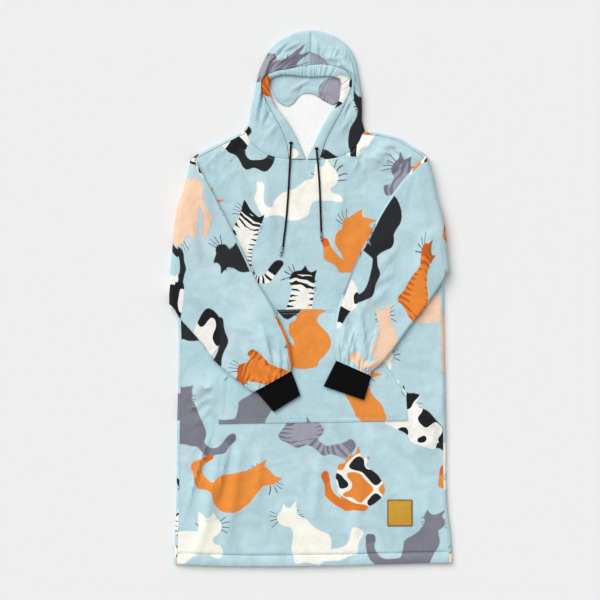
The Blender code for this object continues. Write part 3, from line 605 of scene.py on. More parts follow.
def print_cloth(tree):
    """The colour of the printed ground and cats, read from the cut cloth."""
    spot = add(tree, "UVMap", uv_map="cloth")
    # A fine pull frays the edges, and a slow one bends straight strokes a little, as a brush would.
    pull = spot
    for scale, detail, reach in ((420.0, 1.0, 0.0016), (17.0, 0.0, 0.034)):
        noise = add(tree, "TexNoise", {"Vector": spot, "Scale": scale, "Detail": detail}).node
        pull = add(tree, "VectorMath.MULTIPLY_ADD", [noise.outputs["Color"], (reach, reach, 0), pull])
    over, over_coat = scatter(tree, pull, cat_drawings[0], 0.0, 3.7)
    under, under_coat = scatter(tree, pull, cat_drawings[1], 0.5, 11.3)
    on_top = add(tree, "Math.LESS_THAN", [over["Ink"], 0.0])
    picked = {}
    for name in ("Body", "Along", "Tail", "Tail Along"):
        picked[name] = add(tree, "Mix", {0: on_top, 2: under[name], 3: over[name]})
    coat = add(tree, "Mix", {0: on_top, 2: under_coat, 3: over_coat})
    ink = add(tree, "Math.MINIMUM", [over["Ink"], under["Ink"]])
    inked = add(
        tree, "MapRange",
        {"Value": ink, "From Min": INK_EDGE, "From Max": -INK_EDGE, "To Min": 0.0, "To Max": 1.0},
    )
    ramps = []
    for column in (1, 2, 3, 4, 5):
        made = add(tree, "ValToRGB", [coat])
        fill_ramp(made.node.color_ramp, [colour(row[column]) for row in COATS])
        ramps.append(made)
    base, marks, second, tail, tip = ramps
    kind = add(tree, "ValToRGB", [coat])
    fill_ramp(kind.node.color_ramp, [(row[6] / 2, row[6] / 2, row[6] / 2, 1) for row in COATS])
    striped = add(tree, "Math.COMPARE", [kind, 0.5, 0.1])
    patched = add(tree, "Math.GREATER_THAN", [kind, 0.8])
    wobble = add(tree, "TexNoise", {"Vector": spot, "Scale": 46.0, "Detail": 1.0})
    bands = add(tree, "Math.MULTIPLY", [picked["Along"], STRIPES])
    bent = add(tree, "Math.MULTIPLY_ADD", [wobble, 5.0, bands])
    wave = add(tree, "Math.SINE", [bent])
    depth = add(tree, "Math.MULTIPLY_ADD", [picked["Body"], 75.0, 0.67])
    lines = add(tree, "Math.ADD", [wave, depth])
    inner = add(tree, "Math.GREATER_THAN", [lines, 1.0])
    stripe = add(tree, "Math.MULTIPLY", [inner, striped])
    patch = add(tree, "TexNoise", {"Vector": spot, "Scale": 24.0, "Detail": 0.0})
    large = add(tree, "Math.GREATER_THAN", [patch, 0.535])
    spots = add(tree, "Math.MULTIPLY", [large, patched])
    small = add(tree, "Math.LESS_THAN", [patch, 0.42])
    more = add(tree, "Math.MULTIPLY", [small, patched])
    marked = add(tree, "Math.MAXIMUM", [stripe, spots])
    fur = add(tree, "Mix.RGBA", {0: marked, 6: base, 7: marks})
    fur = add(tree, "Mix.RGBA", {0: more, 6: fur, 7: second})
    rings = add(tree, "Math.MULTIPLY", [picked["Tail Along"], TAIL_RINGS])
    ring = add(tree, "Math.SINE", [rings])
    banded = add(tree, "Math.GREATER_THAN", [ring, 0.25])
    band = add(tree, "Math.MULTIPLY", [banded, striped])
    tail_fur = add(tree, "Mix.RGBA", {0: band, 6: tail, 7: marks})
    last = add(tree, "Math.GREATER_THAN", [picked["Tail Along"], TAIL_TIP])
    tail_fur = add(tree, "Mix.RGBA", {0: last, 6: tail_fur, 7: tip})
    on_tail = add(tree, "Math.LESS_THAN", [picked["Tail"], picked["Body"]])
    cat = add(tree, "Mix.RGBA", {0: on_tail, 6: fur, 7: tail_fur})
    drift = add(tree, "TexNoise", {"Vector": spot, "Scale": 9.0, "Detail": 3.0})
    ground = add(tree, "Mix.RGBA", {0: drift, 6: colour("A5CDD5"), 7: colour("CDE1E8")})
    whisker = add(tree, "Math.MAXIMUM", [over["Whisker"], under["Whisker"]])
    drawn = add(tree, "Mix.RGBA", {0: whisker, 6: ground, 7: colour("4A5560")})
    return add(tree, "Mix.RGBA", {0: inked, 6: drawn, 7: cat})


plush, tree, shader = new_material(
    "printed_polyester_plush",
    {"Base Color": colour(GROUND), "Roughness": 0.9, "Specular IOR Level": 0.1, "Sheen Weight": 0.08},
)
inks = print_cloth(tree)
# The pile is about 2 mm deep and each tuft under 1 mm wide, too fine to show, so crushed patches
# 5 mm and 26 mm wide stand for it. Where a hand has brushed the nap it looks darker or lighter.
pile_at = add(tree, "TexCoord").node.outputs["Object"]
tufts = add(tree, "TexNoise", {"Vector": pile_at, "Scale": 210.0, "Detail": 2.0})
crush = add(tree, "TexNoise", {"Vector": pile_at, "Scale": 38.0, "Detail": 2.0, "Distortion": 0.8})
nap = add(tree, "TexNoise", {"Vector": pile_at, "Scale": 15.0, "Detail": 4.0, "Distortion": 1.6})
brushed = add(
    tree, "MapRange", {"Value": nap, "From Min": 0.3, "From Max": 0.7, "To Min": 0.9, "To Max": 1.07}
)
# The 5 mm tufts are painted lighter where they rise and darker where they dip: painted shade that follows
# the pile's bump.
painted_shade = add(tree, "MapRange", {"Value": tufts, "To Min": 0.95, "To Max": 1.05})
both = add(tree, "Math.MULTIPLY", [brushed, painted_shade])
print_nap_and_painted_shade = add(tree, "VectorMath.SCALE", {0: inks, "Scale": both})
soft = add(tree, "Bump", {"Strength": 0.24, "Distance": 0.006, "Height": crush})
pile = add(tree, "Bump", {"Strength": 0.25, "Distance": 0.0014, "Height": tufts, "Normal": soft})
feed(shader, {"Base Color": print_nap_and_painted_shade, "Normal": pile})
print(len(tree.nodes), "nodes in the printed plush")

# %% [markdown]
# ## The other finishes
#
# The lining is sherpa, a white knit brushed into curls about 5 mm across, which take the light as
# small soft lumps. The cuffs are a black rib knit, the label is mustard leather with a fine grain
# and a burnished rim, and the topstitching is a polyester thread near the ground's own blue.

# %% Sherpa
sherpa, tree, shader = new_material(
    "white_sherpa_knit",
    {"Base Color": colour("F8F8F7"), "Roughness": 0.95, "Sheen Weight": 0.4, "Sheen Roughness": 0.6},
)
curls_at = add(tree, "TexCoord").node.outputs["Object"]
curls = add(tree, "TexVoronoi", {"Vector": curls_at, "Scale": 210.0, "Randomness": 1.0})
clumps = add(tree, "TexNoise", {"Vector": curls_at, "Scale": 70.0, "Detail": 3.0})
mixed = add(tree, "Math.MULTIPLY_ADD", [curls, -0.6, clumps])
# The clumps are painted lighter where they rise and darker where they dip, as painted shade that follows
# the curls' bump.
painted_shade = add(tree, "Mix.RGBA", {0: clumps, 6: colour("F2F2F1"), 7: colour("FFFFFE")})
curly = add(tree, "Bump", {"Strength": 0.4, "Distance": 0.0016, "Height": mixed})
feed(shader, {"Base Color": painted_shade, "Normal": curly})

# %% Rib knit
RIBS = 22
rib_knit, tree, shader = new_material(
    "black_cotton_rib", {"Base Color": colour("09090A"), "Roughness": 0.95, "Specular IOR Level": 0.12}
)
knit_at = add(tree, "UVMap", uv_map="cloth")
# One stitch is about 1.2 mm wide, drawn at 2.6 mm so that it shows.
knit_spots = add(tree, "VectorMath.MULTIPLY", [knit_at, (385.0, 300.0, 0)])
loops = add(tree, "TexVoronoi", {"Vector": knit_spots, "Scale": 1.0, "Randomness": 0.25})
# The loops are painted lighter at their middles and darker at their edges, where the bump dips between
# them: painted shade.
knit_painted_shade = add(tree, "Mix.RGBA", {0: loops, 6: colour("0C0C0D"), 7: colour("050506")})
knitted = add(tree, "Bump", {"Strength": 0.5, "Distance": 0.0005, "Height": loops}, invert=True)
feed(shader, {"Base Color": knit_painted_shade, "Normal": knitted})

# %% Leather and thread
LABEL_MIDDLE = (200.8, -491.8)
LABEL_SIZE = (58.4, 61.6)
LABEL_WALL = 1.5
leather, tree, shader = new_material(
    "mustard_cow_leather", {"Base Color": colour("CA9726"), "Roughness": 0.55, "IOR": 1.5}
)
hide_at = add(tree, "TexCoord").node.outputs["Object"]
middle = (as_points([*LABEL_MIDDLE, 0]) + SHIFT) * MM
centred = add(tree, "VectorMath.SUBTRACT", [hide_at, tuple(middle)])
sides = add(tree, "VectorMath.ABSOLUTE", [centred])
side = add(tree, "SeparateXYZ", [sides]).node.outputs
wide = add(tree, "Math.SUBTRACT", [side[0], LABEL_SIZE[0] / 2 * MM])
tall = add(tree, "Math.SUBTRACT", [side[1], LABEL_SIZE[1] / 2 * MM])
rim = add(tree, "Math.MAXIMUM", [wide, tall])
burnt = add(tree, "MapRange", {"Value": rim, "From Min": -0.0032, "From Max": -0.0004})
pores = add(tree, "TexVoronoi", {"Vector": hide_at, "Scale": 620.0}, feature="DISTANCE_TO_EDGE")
cloudy = add(tree, "TexNoise", {"Vector": hide_at, "Scale": 90.0, "Detail": 3.0})
tan = add(tree, "Mix.RGBA", {0: cloudy, 6: colour("C08A18"), 7: colour("D4A22A")})
edged = add(tree, "Mix.RGBA", {0: burnt, 6: tan, 7: colour("6E4D14")})
grained = add(tree, "Bump", {"Strength": 0.35, "Distance": 0.0003, "Height": pores})
feed(shader, {"Base Color": edged, "Normal": grained})


def thread_material(name, dark, light):
    """Spun polyester thread: two tones twisted round each other."""
    material, tree, shader = new_material(
        name, {"Base Color": colour(light), "Roughness": 0.6, "Sheen Weight": 0.1}
    )
    at = add(tree, "TexCoord").node.outputs["Object"]
    twist = add(tree, "TexNoise", {"Vector": at, "Scale": 1400.0, "Detail": 1.0})
    tone = add(tree, "Mix.RGBA", {0: twist, 6: colour(dark), 7: colour(light)})
    feed(shader, {"Base Color": tone})
    return material


blue_thread = thread_material("spun_polyester_thread_blue", "83AAB3", "A9CCD2")
brown_thread = thread_material("spun_polyester_thread_brown", "2B1B0D", "46301A")

# %% [markdown]
# ## Soft relief
#
# A laid-out plush has long soft folds, listed in tables, and over them a slow wander and
# small crushed creases that nobody would place one by one. Those come from a smooth random net,
# seeded so that each run gives the same cloth. Simulating the cloth would move its outline, which
# has to stay where the photograph and the solids have it.

# %% Folds, wander and creases
def from_segment(xy, start, end):
    """Distance from a segment and how far along it the nearest point lies."""
    start = as_points(start)
    run = as_points(end) - start
    along = np.clip(((xy - start) @ run) / (run @ run), 0, 1)
    return np.linalg.norm(xy - start - along[..., None] * run, axis=-1), along


def ridges(rows, xy):
    """Height of the soft folds at each point."""
    total = np.zeros(xy.shape[:-1])
    for x0, y0, x1, y1, width, height in rows:
        distance, along = from_segment(xy, (x0, y0), (x1, y1))
        sharp = hill(distance, 0.7 * width)
        total += height * sharp * (0.35 + 0.65 * np.sin(math.pi * along))
    return total


def wander(xy, size, turn, seed):
    """Smooth random heights from -1 to 1 on a net of cells, size wide and long."""
    table = np.random.default_rng(seed).uniform(-1, 1, (97, 97))
    spin = np.array([[math.cos(turn), -math.sin(turn)], [math.sin(turn), math.cos(turn)]])
    at = (np.asarray(xy, float) @ spin) / as_points(size) + 31.7
    low = np.floor(at).astype(int)
    part = at - low
    part = part * part * (3 - 2 * part)
    x, y = low[..., 0] % 96, low[..., 1] % 96
    u, v = part[..., 0], part[..., 1]
    near = table[x, y] * (1 - u) + table[x + 1, y] * u
    far = table[x, y + 1] * (1 - u) + table[x + 1, y + 1] * u
    return near * (1 - v) + far * v


def creases(xy, size, turn, seed):
    """Narrow random ridges: high where a wandering height crosses zero."""
    return np.clip(1 - 2.6 * np.abs(wander(xy, size, turn, seed)), 0, 1) ** 1.5


def spots(rows, xy):
    """Crushed places: x, y, reach, height and the creases' direction."""
    total = np.zeros(xy.shape[:-1])
    for seed, (x, y, reach, height, turn) in enumerate(rows):
        near = hill(np.hypot(xy[..., 0] - x, xy[..., 1] - y), reach)
        rough = creases(xy, (15, 44), turn, 40 + seed) + 0.6 * creases(xy, (9, 22), turn + 0.5, 60 + seed)
        total += height * near * rough
    return total


def inside(outline, xy):
    """Signed distance to a convex outline, positive inside."""
    points = as_points(outline)
    depth = np.full(xy.shape[:-1], np.inf)
    for start, end in zip(points, np.roll(points, -1, axis=0)):
        run = unit(end - start)
        across = (xy[..., 0] - start[0]) * run[1] - (xy[..., 1] - start[1]) * run[0]
        depth = np.minimum(depth, across)
    return depth


# %% [markdown]
# The front carries the pocket, the sleeves, the cords and the label, so its relief is written once,
# and whatever lies on it asks the same function how high it is. It stays calm where a flat
# thing lies on it.

# %% The front's relief
CLOTH = 5.0
AIR = 3.4
BODY = 2 * CLOTH + AIR
ROUND = BODY / 2
BORE = AIR / 2
SEAM = 0.3
LIE = 0.8
POCKET = 3.0
POCKET_STITCHES = (3.2, 9.6)
POCKET_OUTLINE = [(-216, -287), (-208, -186), (-82, -25), (84, -20.5), (215, -221), (219, -280)]
# from x, y to x, y, then half width and height
FRONT_FOLDS = [
    (-205, -322, -262, -585, 22, 4.2), (-165, -330, -196, -560, 18, 3.0),
    (-120, -335, -128, -480, 16, 2.0), (-236, -196, -292, -232, 20, 3.4), (236, -236, 286, -330, 20, 4.0),
    (120, -335, 96, -560, 20, 2.2), (20, -340, 6, -500, 18, 1.6), (-205, 330, -150, 250, 18, 3.4),
    (160, 340, 110, 290, 18, 2.0), (-110, 290, -92, 120, 20, 2.0), (70, 270, 48, 90, 20, 2.0),
    (-232, -300, -276, -430, 7, 2.4), (-240, -318, -300, -520, 6, 2.2), (-188, -320, -222, -470, 6, 2.3),
    (-222, -206, -296, -198, 5, 2.3), (-222, -222, -300, -262, 5, 2.6), (-224, -238, -276, -296, 5, 2.2),
    (232, -252, 300, -300, 8, 2.0), (236, -300, 298, -372, 9, 1.6), (238, -214, 292, -214, 8, 1.4),
    (196, 372, 128, 318, 8, 1.8), (222, 352, 178, 296, 7, 1.6), (140, 372, 92, 330, 7, 1.4),
    (-232, 348, -186, 318, 7, 1.5),
]
FRONT_CRUSH = [
    (185, 345, 66, 3.1, 0.9), (120, 335, 50, 2.4, 0.7), (-215, 340, 50, 2.7, -0.8),
    (-262, -240, 52, 1.9, 1.3), (262, -300, 50, 1.7, -1.0), (-262, -420, 80, 1.2, 0.2),
    (60, 260, 90, 0.5, 0.3),
]
FRONT_DEPTH = 2.4
LABEL_SPOT = (200, -490, 62)
CORD_LINES = [(-50, 350, -74, 96), (10, 350, 21, 132)]


def calm_spots(xy):
    """0 where something flat lies on the front, 1 away from it."""
    calm = 1 - smoothstep(inside(POCKET_OUTLINE, xy), -18, -3)
    x, y, reach = LABEL_SPOT
    calm = calm * smoothstep(np.hypot(xy[..., 0] - x, xy[..., 1] - y), reach - 14, reach + 20)
    for x0, y0, x1, y1 in CORD_LINES:
        distance, _ = from_segment(xy, (x0, y0), (x1, y1))
        calm = calm * smoothstep(distance, 6, 26)
    return calm


def front_rise(xy):
    """Height of the front's folds over its flat level."""
    slow = 1.6 * wander(xy, (96, 150), 0.35, 5) + 0.5 * wander(xy, (44, 70), -0.5, 6)
    small = 0.12 * creases(xy, (26, 60), 0.9, 7) + 0.08 * creases(xy, (22, 44), -0.6, 8)
    folds = FRONT_DEPTH * (ridges(FRONT_FOLDS, xy) + spots(FRONT_CRUSH, xy))
    return (folds + slow + small) * calm_spots(xy)


def rest(xy):
    """Level on which a sleeve or a cuff lies."""
    over_pocket = smoothstep(inside(POCKET_OUTLINE, xy), -60, -16)
    return BODY + front_rise(xy) + (POCKET + SEAM) * over_pocket + LIE


def raised(xy, z):
    return np.concatenate([xy, np.broadcast_to(np.asarray(z, float), xy.shape[:-1])[..., None]], axis=-1)


def laid(plan, top, base, cut_at, *names, **look):
    """A cloth piece between two levels over its plan, cut from the cloth at cut_at."""
    return keep(
        cloth_wall([(raised(plan, top), raised(plan, base), plan + np.array(cut_at))]), *names, **look
    )


# %% [markdown]
# ## Body outline
#
# The body is a wide straight shape. The back wraps round to the front at the sides and shoulders,
# and the armholes stay open for the sleeves. The tables are the outline as it lies.

# %% Outline tables
SIDE_LEFT = [(-319, -609.5), (-317, -560), (-314.5, -500), (-312, -300), (-308.5, -80), (-311, -8)]
SIDE_RIGHT = [(322, -606), (319.5, -560), (310.5, -480), (307, -300), (302, -40), (301, 40), (297, 76)]
ARMHOLE_LEFT = [
    (-262, 334), (-268, 300), (-278, 262), (-290, 226), (-298, 180), (-305, 110), (-310, 50), (-311, -8),
]
ARMHOLE_RIGHT = [
    (248, 340), (252, 319), (258, 297), (265, 263), (274, 227), (284, 191), (289, 136), (297, 76),
]
SHOULDER_LEFT = [(-262, 334), (-219.6, 356.5), (-184, 374), (-160, 387)]
SHOULDER_RIGHT = [(248, 340), (204, 368), (160, 381.5), (121, 386)]
NECK_LEFT = (-153.5, 382.5)
NECK_RIGHT = (115, 379.5)
NECK = [
    NECK_LEFT, (-140, 361), (-124, 344), (-104, 332), (-80, 325), (-55, 321.5), (-35, 320.5), (-15, 320),
    (1, 320.3), (17, 320.6), (45, 323), (70, 330), (92, 343), (106, 360), NECK_RIGHT,
]
HEM = [(-319, -609.5), (-200, -614), (-86, -614.5), (60, -612.5), (200, -609), (322, -606)]
CAP_LEFT = {"top": 8.7, "under": 10.7}
CAP_RIGHT = {"top": 9.0, "under": 10.7}
HEM_LINE = 24.0
HEM_STITCHES = (19.5, 24.6)
FINE = 5
CAP = 8

# Rows stand close at the hem's edge and at its stitch line, then 7 mm apart.
HEM_ROWS = [0, 0.003, 0.008, 0.016, 0.026, 0.034, 0.0375, 0.0395, 0.0415, 0.045, 0.053]
side_places = np.concatenate([HEM_ROWS, np.linspace(0.064, 1.0, 80)])


def side_line(rows, places, inward):
    """Outline points of a side and the points set in from them."""
    outline = curve(rows, places)
    return outline, outline + np.array([inward * ROUND, 0])


def armhole(rows, caps, columns):
    """Points of an armhole seam from the underarm up."""
    length = np.linalg.norm(as_points(rows[0]) - as_points(rows[-1]))
    return curve(rows, np.linspace(1 - caps["under"] / length, caps["top"] / length, columns + 1))


def shoulder_line(rows, seam_top, neck, count):
    """Outline points of a shoulder and the points set in from them."""
    outline = curve(rows, np.linspace(0, 1, count + 1))
    inward = beside(outline)
    inward *= np.sign(inward[:, 1:2]) * -1
    inset = outline + inward * ROUND
    ease = smoothstep(np.arange(count + 1), 0, 4)[:, None]
    inset = seam_top + (inset - inset[0]) * ease + (inset[0] - seam_top) * ease
    inset[-1] = neck
    return outline, inset


def body_edges(columns, shoulder_count):
    """Plan points of the body's outline, for the left and the right."""
    edges = {}
    for hand, side, hole, caps, shoulder, neck, inward in (
        ("left", SIDE_LEFT, ARMHOLE_LEFT, CAP_LEFT, SHOULDER_LEFT, NECK_LEFT, 1),
        ("right", SIDE_RIGHT, ARMHOLE_RIGHT, CAP_RIGHT, SHOULDER_RIGHT, NECK_RIGHT, -1),
    ):
        outline, inset = side_line(side, side_places, inward)
        inset[-1] = outline[-1] + np.array([inward * ROUND, 2.7])
        seam = armhole(hole, caps, columns)
        over, under = shoulder_line(shoulder, seam[-1], as_points(neck), shoulder_count)
        edges[hand] = {
            "side_outline": outline, "side": inset, "armhole": seam, "shoulder_outline": over,
            "shoulder": under, "inward": inward,
        }
    return edges


def coons(left, right, bottom, top):
    """Plan grid filled in from its four edges; rows run up, columns across."""
    v = ((spacing(left) + spacing(right)) / 2)[:, None, None]
    u = ((spacing(bottom) + spacing(top)) / 2)[None, :, None]
    ruled = (1 - u) * left[:, None] + u * right[:, None] + (1 - v) * bottom[None] + v * top[None]
    corners = (
        (1 - u) * (1 - v) * left[0] + u * (1 - v) * right[0] + (1 - u) * v * left[-1] + u * v * right[-1]
    )
    return ruled - corners


def hem_for(left, right, count):
    """The hem line between two side points, with one point for each column."""
    hem = curve(HEM, np.linspace(0, 1, count))
    hem = left + (hem - hem[0]) * (right[0] - left[0]) / (hem[-1][0] - hem[0][0])
    hem[-1] = right
    return hem


def wrap(inset, outline, half=ROUND):
    """Half round from under to over between inset points and the outline."""
    reach = outline - inset
    length = np.linalg.norm(reach, axis=-1, keepdims=True)
    turn = np.linspace(0, math.pi, CAP + 1)
    bow = np.sin(turn)[None, :, None]
    bow[:, [0, -1]] = 0
    rise = np.cos(turn)[None, :]
    outer = inset[:, None] + reach[:, None] * bow
    inner = inset[:, None] + (reach * (length - CLOTH) / length)[:, None] * bow
    return raised(outer, half * (1 - rise)), raised(inner, half - (half - CLOTH) * rise)


# %% [markdown]
# ## Back panel
#
# The back is one large panel that lies on the table, with strips that wrap round the sides and
# shoulders. Its print is its own, so at the side seam the motifs don't meet those of the front.

# %% Back panel
BACK_CUT = (1140, -50)


def wrapped_cut(inset, shift):
    """Where a wrapped strip was on the cut cloth: as wide as its half round."""
    turn = np.linspace(0, math.pi, CAP + 1) * ROUND
    out = beside(inset) if len(inset) > 2 else np.array([[1.0, 0.0]] * len(inset))
    return inset[:, None] + out[:, None] * turn[None, :, None] * shift[2] + np.array(shift[:2])


def back_panel():
    edges = body_edges(22, 8)
    left, right = edges["left"], edges["right"]
    ends = left["shoulder"][-1], right["shoulder"][-1]
    nape = ends[0] + np.linspace(0, 1, 17)[1:-1, None] * (ends[1] - ends[0])
    top = np.concatenate([left["shoulder"], nape, right["shoulder"][::-1]])
    flat = coons(
        np.concatenate([left["side"], left["armhole"]]),
        np.concatenate([right["side"], right["armhole"]]),
        hem_for(left["side"][0], right["side"][0], len(top)), top,
    )
    patches = [(raised(flat, 0), raised(flat, CLOTH), flat + BACK_CUT)]
    for hand in (left, right):
        gusset = np.array([hand["side"][-1], hand["armhole"][0]])
        tip = np.array([hand["side_outline"][-1]] * 2)
        strips = [(hand[line], hand[line + "_outline"]) for line in ("side", "shoulder")]
        strips.insert(1, (gusset, tip))
        for inset, outline in strips:
            patches.append((*wrap(inset, outline), wrapped_cut(inset, (*BACK_CUT, -hand["inward"]))))
    return keep(cloth_wall(patches), "back_cloth", "back_panel", "fleece", plush)


back_piece = back_panel()

# %% [markdown]
# ## Front panel
#
# The front has nearly all the relief: long folds under the pocket, crushed plush at the shoulders,
# and a hem turned up 24 mm whose twin stitching pulls small puckers. A seam shows as a shallow
# valley, because the cloth is held down there, so the level sinks over the last few millimetres.

# %% Front panel
HEM_GROOVE = 4.2
neck_line = curve(NECK, finer(spacing(as_points(NECK)), FINE))


def front_plan():
    """Plan grid of the front panel, inside the strips of the back."""
    edges = body_edges(11 * FINE, 4 * FINE)
    lines, tops = [], []
    for hand in (edges["left"], edges["right"]):
        inward = hand["inward"]
        side = hand["side"] + np.array([inward * SEAM, 0])
        side[-1] += np.array([0, 0.1])
        seam = hand["armhole"].copy()
        seam[0] += np.array([0, 0.45])
        seam[-1] -= np.array([0, 0.45])
        shoulder = hand["shoulder"] + np.array([inward * 0.2, -0.65])
        shoulder[0] = seam[-1]
        lines.append(np.concatenate([side, seam]))
        tops.append(shoulder)
    tops[0][-1] = neck_line[0] + np.array([0.2, -0.4])
    tops[1][-1] = neck_line[-1] + np.array([-0.2, -0.4])
    top = np.concatenate([tops[0], neck_line[1:-1], tops[1][::-1]])
    return coons(lines[0], lines[1], hem_for(lines[0][0], lines[1][0], len(top)), top)


def gap_to_line(grid, line):
    """Distance in plan of each grid point from the point of its own row or column."""
    return np.linalg.norm(grid - line, axis=-1)


def front_panel():
    plan = front_plan()
    to_side = np.minimum(gap_to_line(plan, plan[:, :1]), gap_to_line(plan, plan[:, -1:]))
    from_hem = gap_to_line(plan, plan[:1])
    to_top = gap_to_line(plan, plan[-1:])
    held = smoothstep(to_side, 0, 22) * smoothstep(to_top, 0, 20)
    level = BODY + front_rise(plan) * held
    along = np.stack([plan[..., 0], np.zeros_like(plan[..., 0])], axis=-1)
    near_hem = hill(from_hem - HEM_LINE, 15)
    pucker = wander(along, (13, 9), 0, 21) + 0.7 * wander(along, (29, 9), 0, 22)
    level += 1.3 * pucker * near_hem * smoothstep(to_side, 2, 12)
    level += 1.4 * (1 - smoothstep(from_hem, HEM_LINE - 2, HEM_LINE + 1)) * smoothstep(to_side, 0, 8)
    level -= HEM_GROOVE * hill(from_hem - HEM_LINE, 2.8) * smoothstep(to_side, 0, 8)
    side_pull = wander(plan[..., ::-1] * np.array([1, 0]), (17, 9), 0, 23)
    level += 0.7 * side_pull * hill(to_side, 16) * smoothstep(to_side, 0, 6)
    edge = 1.4 * (1 - smoothstep(to_top, 0, 6)) + 1.6 * (1 - smoothstep(from_hem, 0, 4))
    level = level - edge
    wall = CLOTH - 1.2 * (1 - smoothstep(from_hem, 0, 4)) - 0.9 * (1 - smoothstep(to_top, 0, 6))
    inner = np.maximum(level - wall, CLOTH + SEAM)
    return laid(plan, level, inner, (0, 0), "front_cloth", "front_panel", "fleece", plush)


front_piece = front_panel()

# %% [markdown]
# ## Pocket
#
# A kangaroo pocket is one piece stitched on along its top, its two short sides and its hem, and
# left open along the two slants for the hands. The slants gape a little, and the stitched edges
# are pulled down.

# %% Pocket
POCKET_CUT = (380, -320)
POCKET_GROOVE = 1.7
POCKET_GAPE = 0.6


def pocket_plan():
    a, b, c, d, e, f = as_points(POCKET_OUTLINE)
    low = np.linspace(0, 1, 16)[:-1, None]
    high = np.linspace(0, 1, 42)[:, None]
    left = np.concatenate([a + low * (b - a), b + high * (c - b)])
    right = np.concatenate([f + low * (e - f), e + high * (d - e)])
    across = smoothstep(np.linspace(0, 1, 65), -0.4, 1.4)
    across = ((across - across[0]) / (across[-1] - across[0]))[:, None]
    return coons(left, right, a + across * (f - a), c + across * (d - c))


def pocket():
    plan = pocket_plan()
    depth = inside(POCKET_OUTLINE, plan)
    gape = 0
    for low, high in ((1, 2), (4, 3)):
        gap, along = from_segment(plan, POCKET_OUTLINE[low], POCKET_OUTLINE[high])
        gape = gape + hill(gap, 20) * np.sin(math.pi * along)
    slow = 1.1 * wander(plan, (70, 90), 0.4, 31) + 0.25 * creases(plan, (24, 60), 0.8, 33)
    level = BODY + SEAM + POCKET + slow * smoothstep(depth, 4, 30)
    level += 0.6 * wander(plan, (16, 16), 0.2, 32) * hill(depth - 9, 9)
    level -= 1.2 * (1 - smoothstep(depth, 0, 2.2)) + POCKET_GROOVE * hill(depth - POCKET_STITCHES[1], 2.2)
    lift = POCKET_GAPE * gape
    wall = POCKET - 0.8 * (1 - smoothstep(depth, 0, 2.2))
    floor = np.maximum(level - wall, BODY + SEAM)
    return laid(
        plan, level + lift, floor + lift, POCKET_CUT, "kangaroo_pocket", "pocket", "fleece", plush
    )


pocket_piece = pocket()

# %% [markdown]
# ## Sleeves
#
# Each sleeve is a flat tube that leaves its armhole, folds over the front and runs down to a
# cuff, where it is gathered. It is made as rings of a flattened tube. Broad folds follow tables,
# and the gathers are waves across the sleeve that fade out above the cuff.

# %% Sleeve tables
# A sleeve's or cuff's row is x, y of its upper edge and of its lower edge. A sleeve's also has a bow.
FOLD_REACH = 3.0
FOLD_RADIUS = 8.0
FOLD_SLIDE = 18.0
SLEEVE_LEFT = [
    (-261, 301, -319, -20, 10), (-244, 271, -307, -41, 5), (-214, 216, -291, -60, 0),
    (-182, 154, -270, -83, -4), (-154, 98, -248, -109, -6), (-130, 46, -228, -138, -4),
    (-102, -2, -206, -160, -2), (-86, -29, -185, -178, 0), (-68, -66, -166, -192, 0),
    (-56, -95, -152, -204, 0), (-50, -125, -141, -211, 0), (-46.5, -150, -134, -213, 0),
    (-48, -165, -130, -211, 0),
]
SLEEVE_RIGHT = [
    (247, 316, 303, 50, 8), (221, 289, 290, 27, 4), (190, 250, 270, -2, 0), (156, 198, 248, -33, -4),
    (132.7, 151, 226, -60, -6), (104, 96.6, 203, -91, -4), (76, 27.6, 182, -119, -2),
    (57, -22, 164, -141, 0), (50, -65, 151, -153, 0), (48.5, -100, 141, -161, 0),
    (51, -125, 134, -168, 0), (54, -141, 134, -176, 0),
]
SLEEVE_FOLDS = [
    (-250, 268, -238, 180, 16, 3.0), (-282, 190, -262, 90, 18, 3.2), (-232, 110, -190, 60, 16, 2.6),
    (-215, 20, -160, -18, 14, 2.4), (236, 262, 262, 180, 16, 3.0), (270, 150, 246, 60, 18, 3.2),
    (196, 120, 150, 70, 16, 2.6), (170, 20, 118, -20, 14, 2.4), (-246, 306, -224, 262, 7, 1.8),
    (-262, 240, -214, 226, 8, 1.6), (-168, 30, -128, 4, 9, 2.0), (-196, -60, -134, -78, 9, 1.8),
    (-116, -66, -92, -150, 9, 3.2), (-98, -100, -84, -166, 7, -2.4), (-80, -96, -72, -166, 7, 2.8),
    (-158, -116, -112, -184, 8, 2.6), (-140, -96, -104, -160, 7, -2.0), (72, -40, 76, -134, 9, 3.0),
    (86, -30, 106, -140, 9, -3.2), (104, -6, 122, -130, 10, 4.2), (150, 60, 118, -20, 9, 2.2),
    (150, -70, 128, -150, 8, 2.2), (182, 60, 130, 26, 10, 2.2), (232, 292, 214, 240, 7, 1.6),
]
SLEEVE_CRUSH = [
    (-235, 285, 40, 2.0, -0.6), (-205, 40, 60, 0.9, 0.9), (-110, -120, 50, 1.6, 0.3),
    (240, 285, 40, 1.8, 0.6), (160, 60, 60, 0.8, -0.9), (100, -90, 50, 1.6, -0.2),
]
GATHER_WAVES = 4
GATHER_HEIGHT = 4.2
TUCK_WAVES = 9.5
TUCK_HEIGHT = 4.2
SLEEVE_DEPTH = 2.0
SLEEVE_COLUMNS = 64
RING_STEPS = 6


# %% Sleeve rings
UP = np.array([0.0, 0, 1])


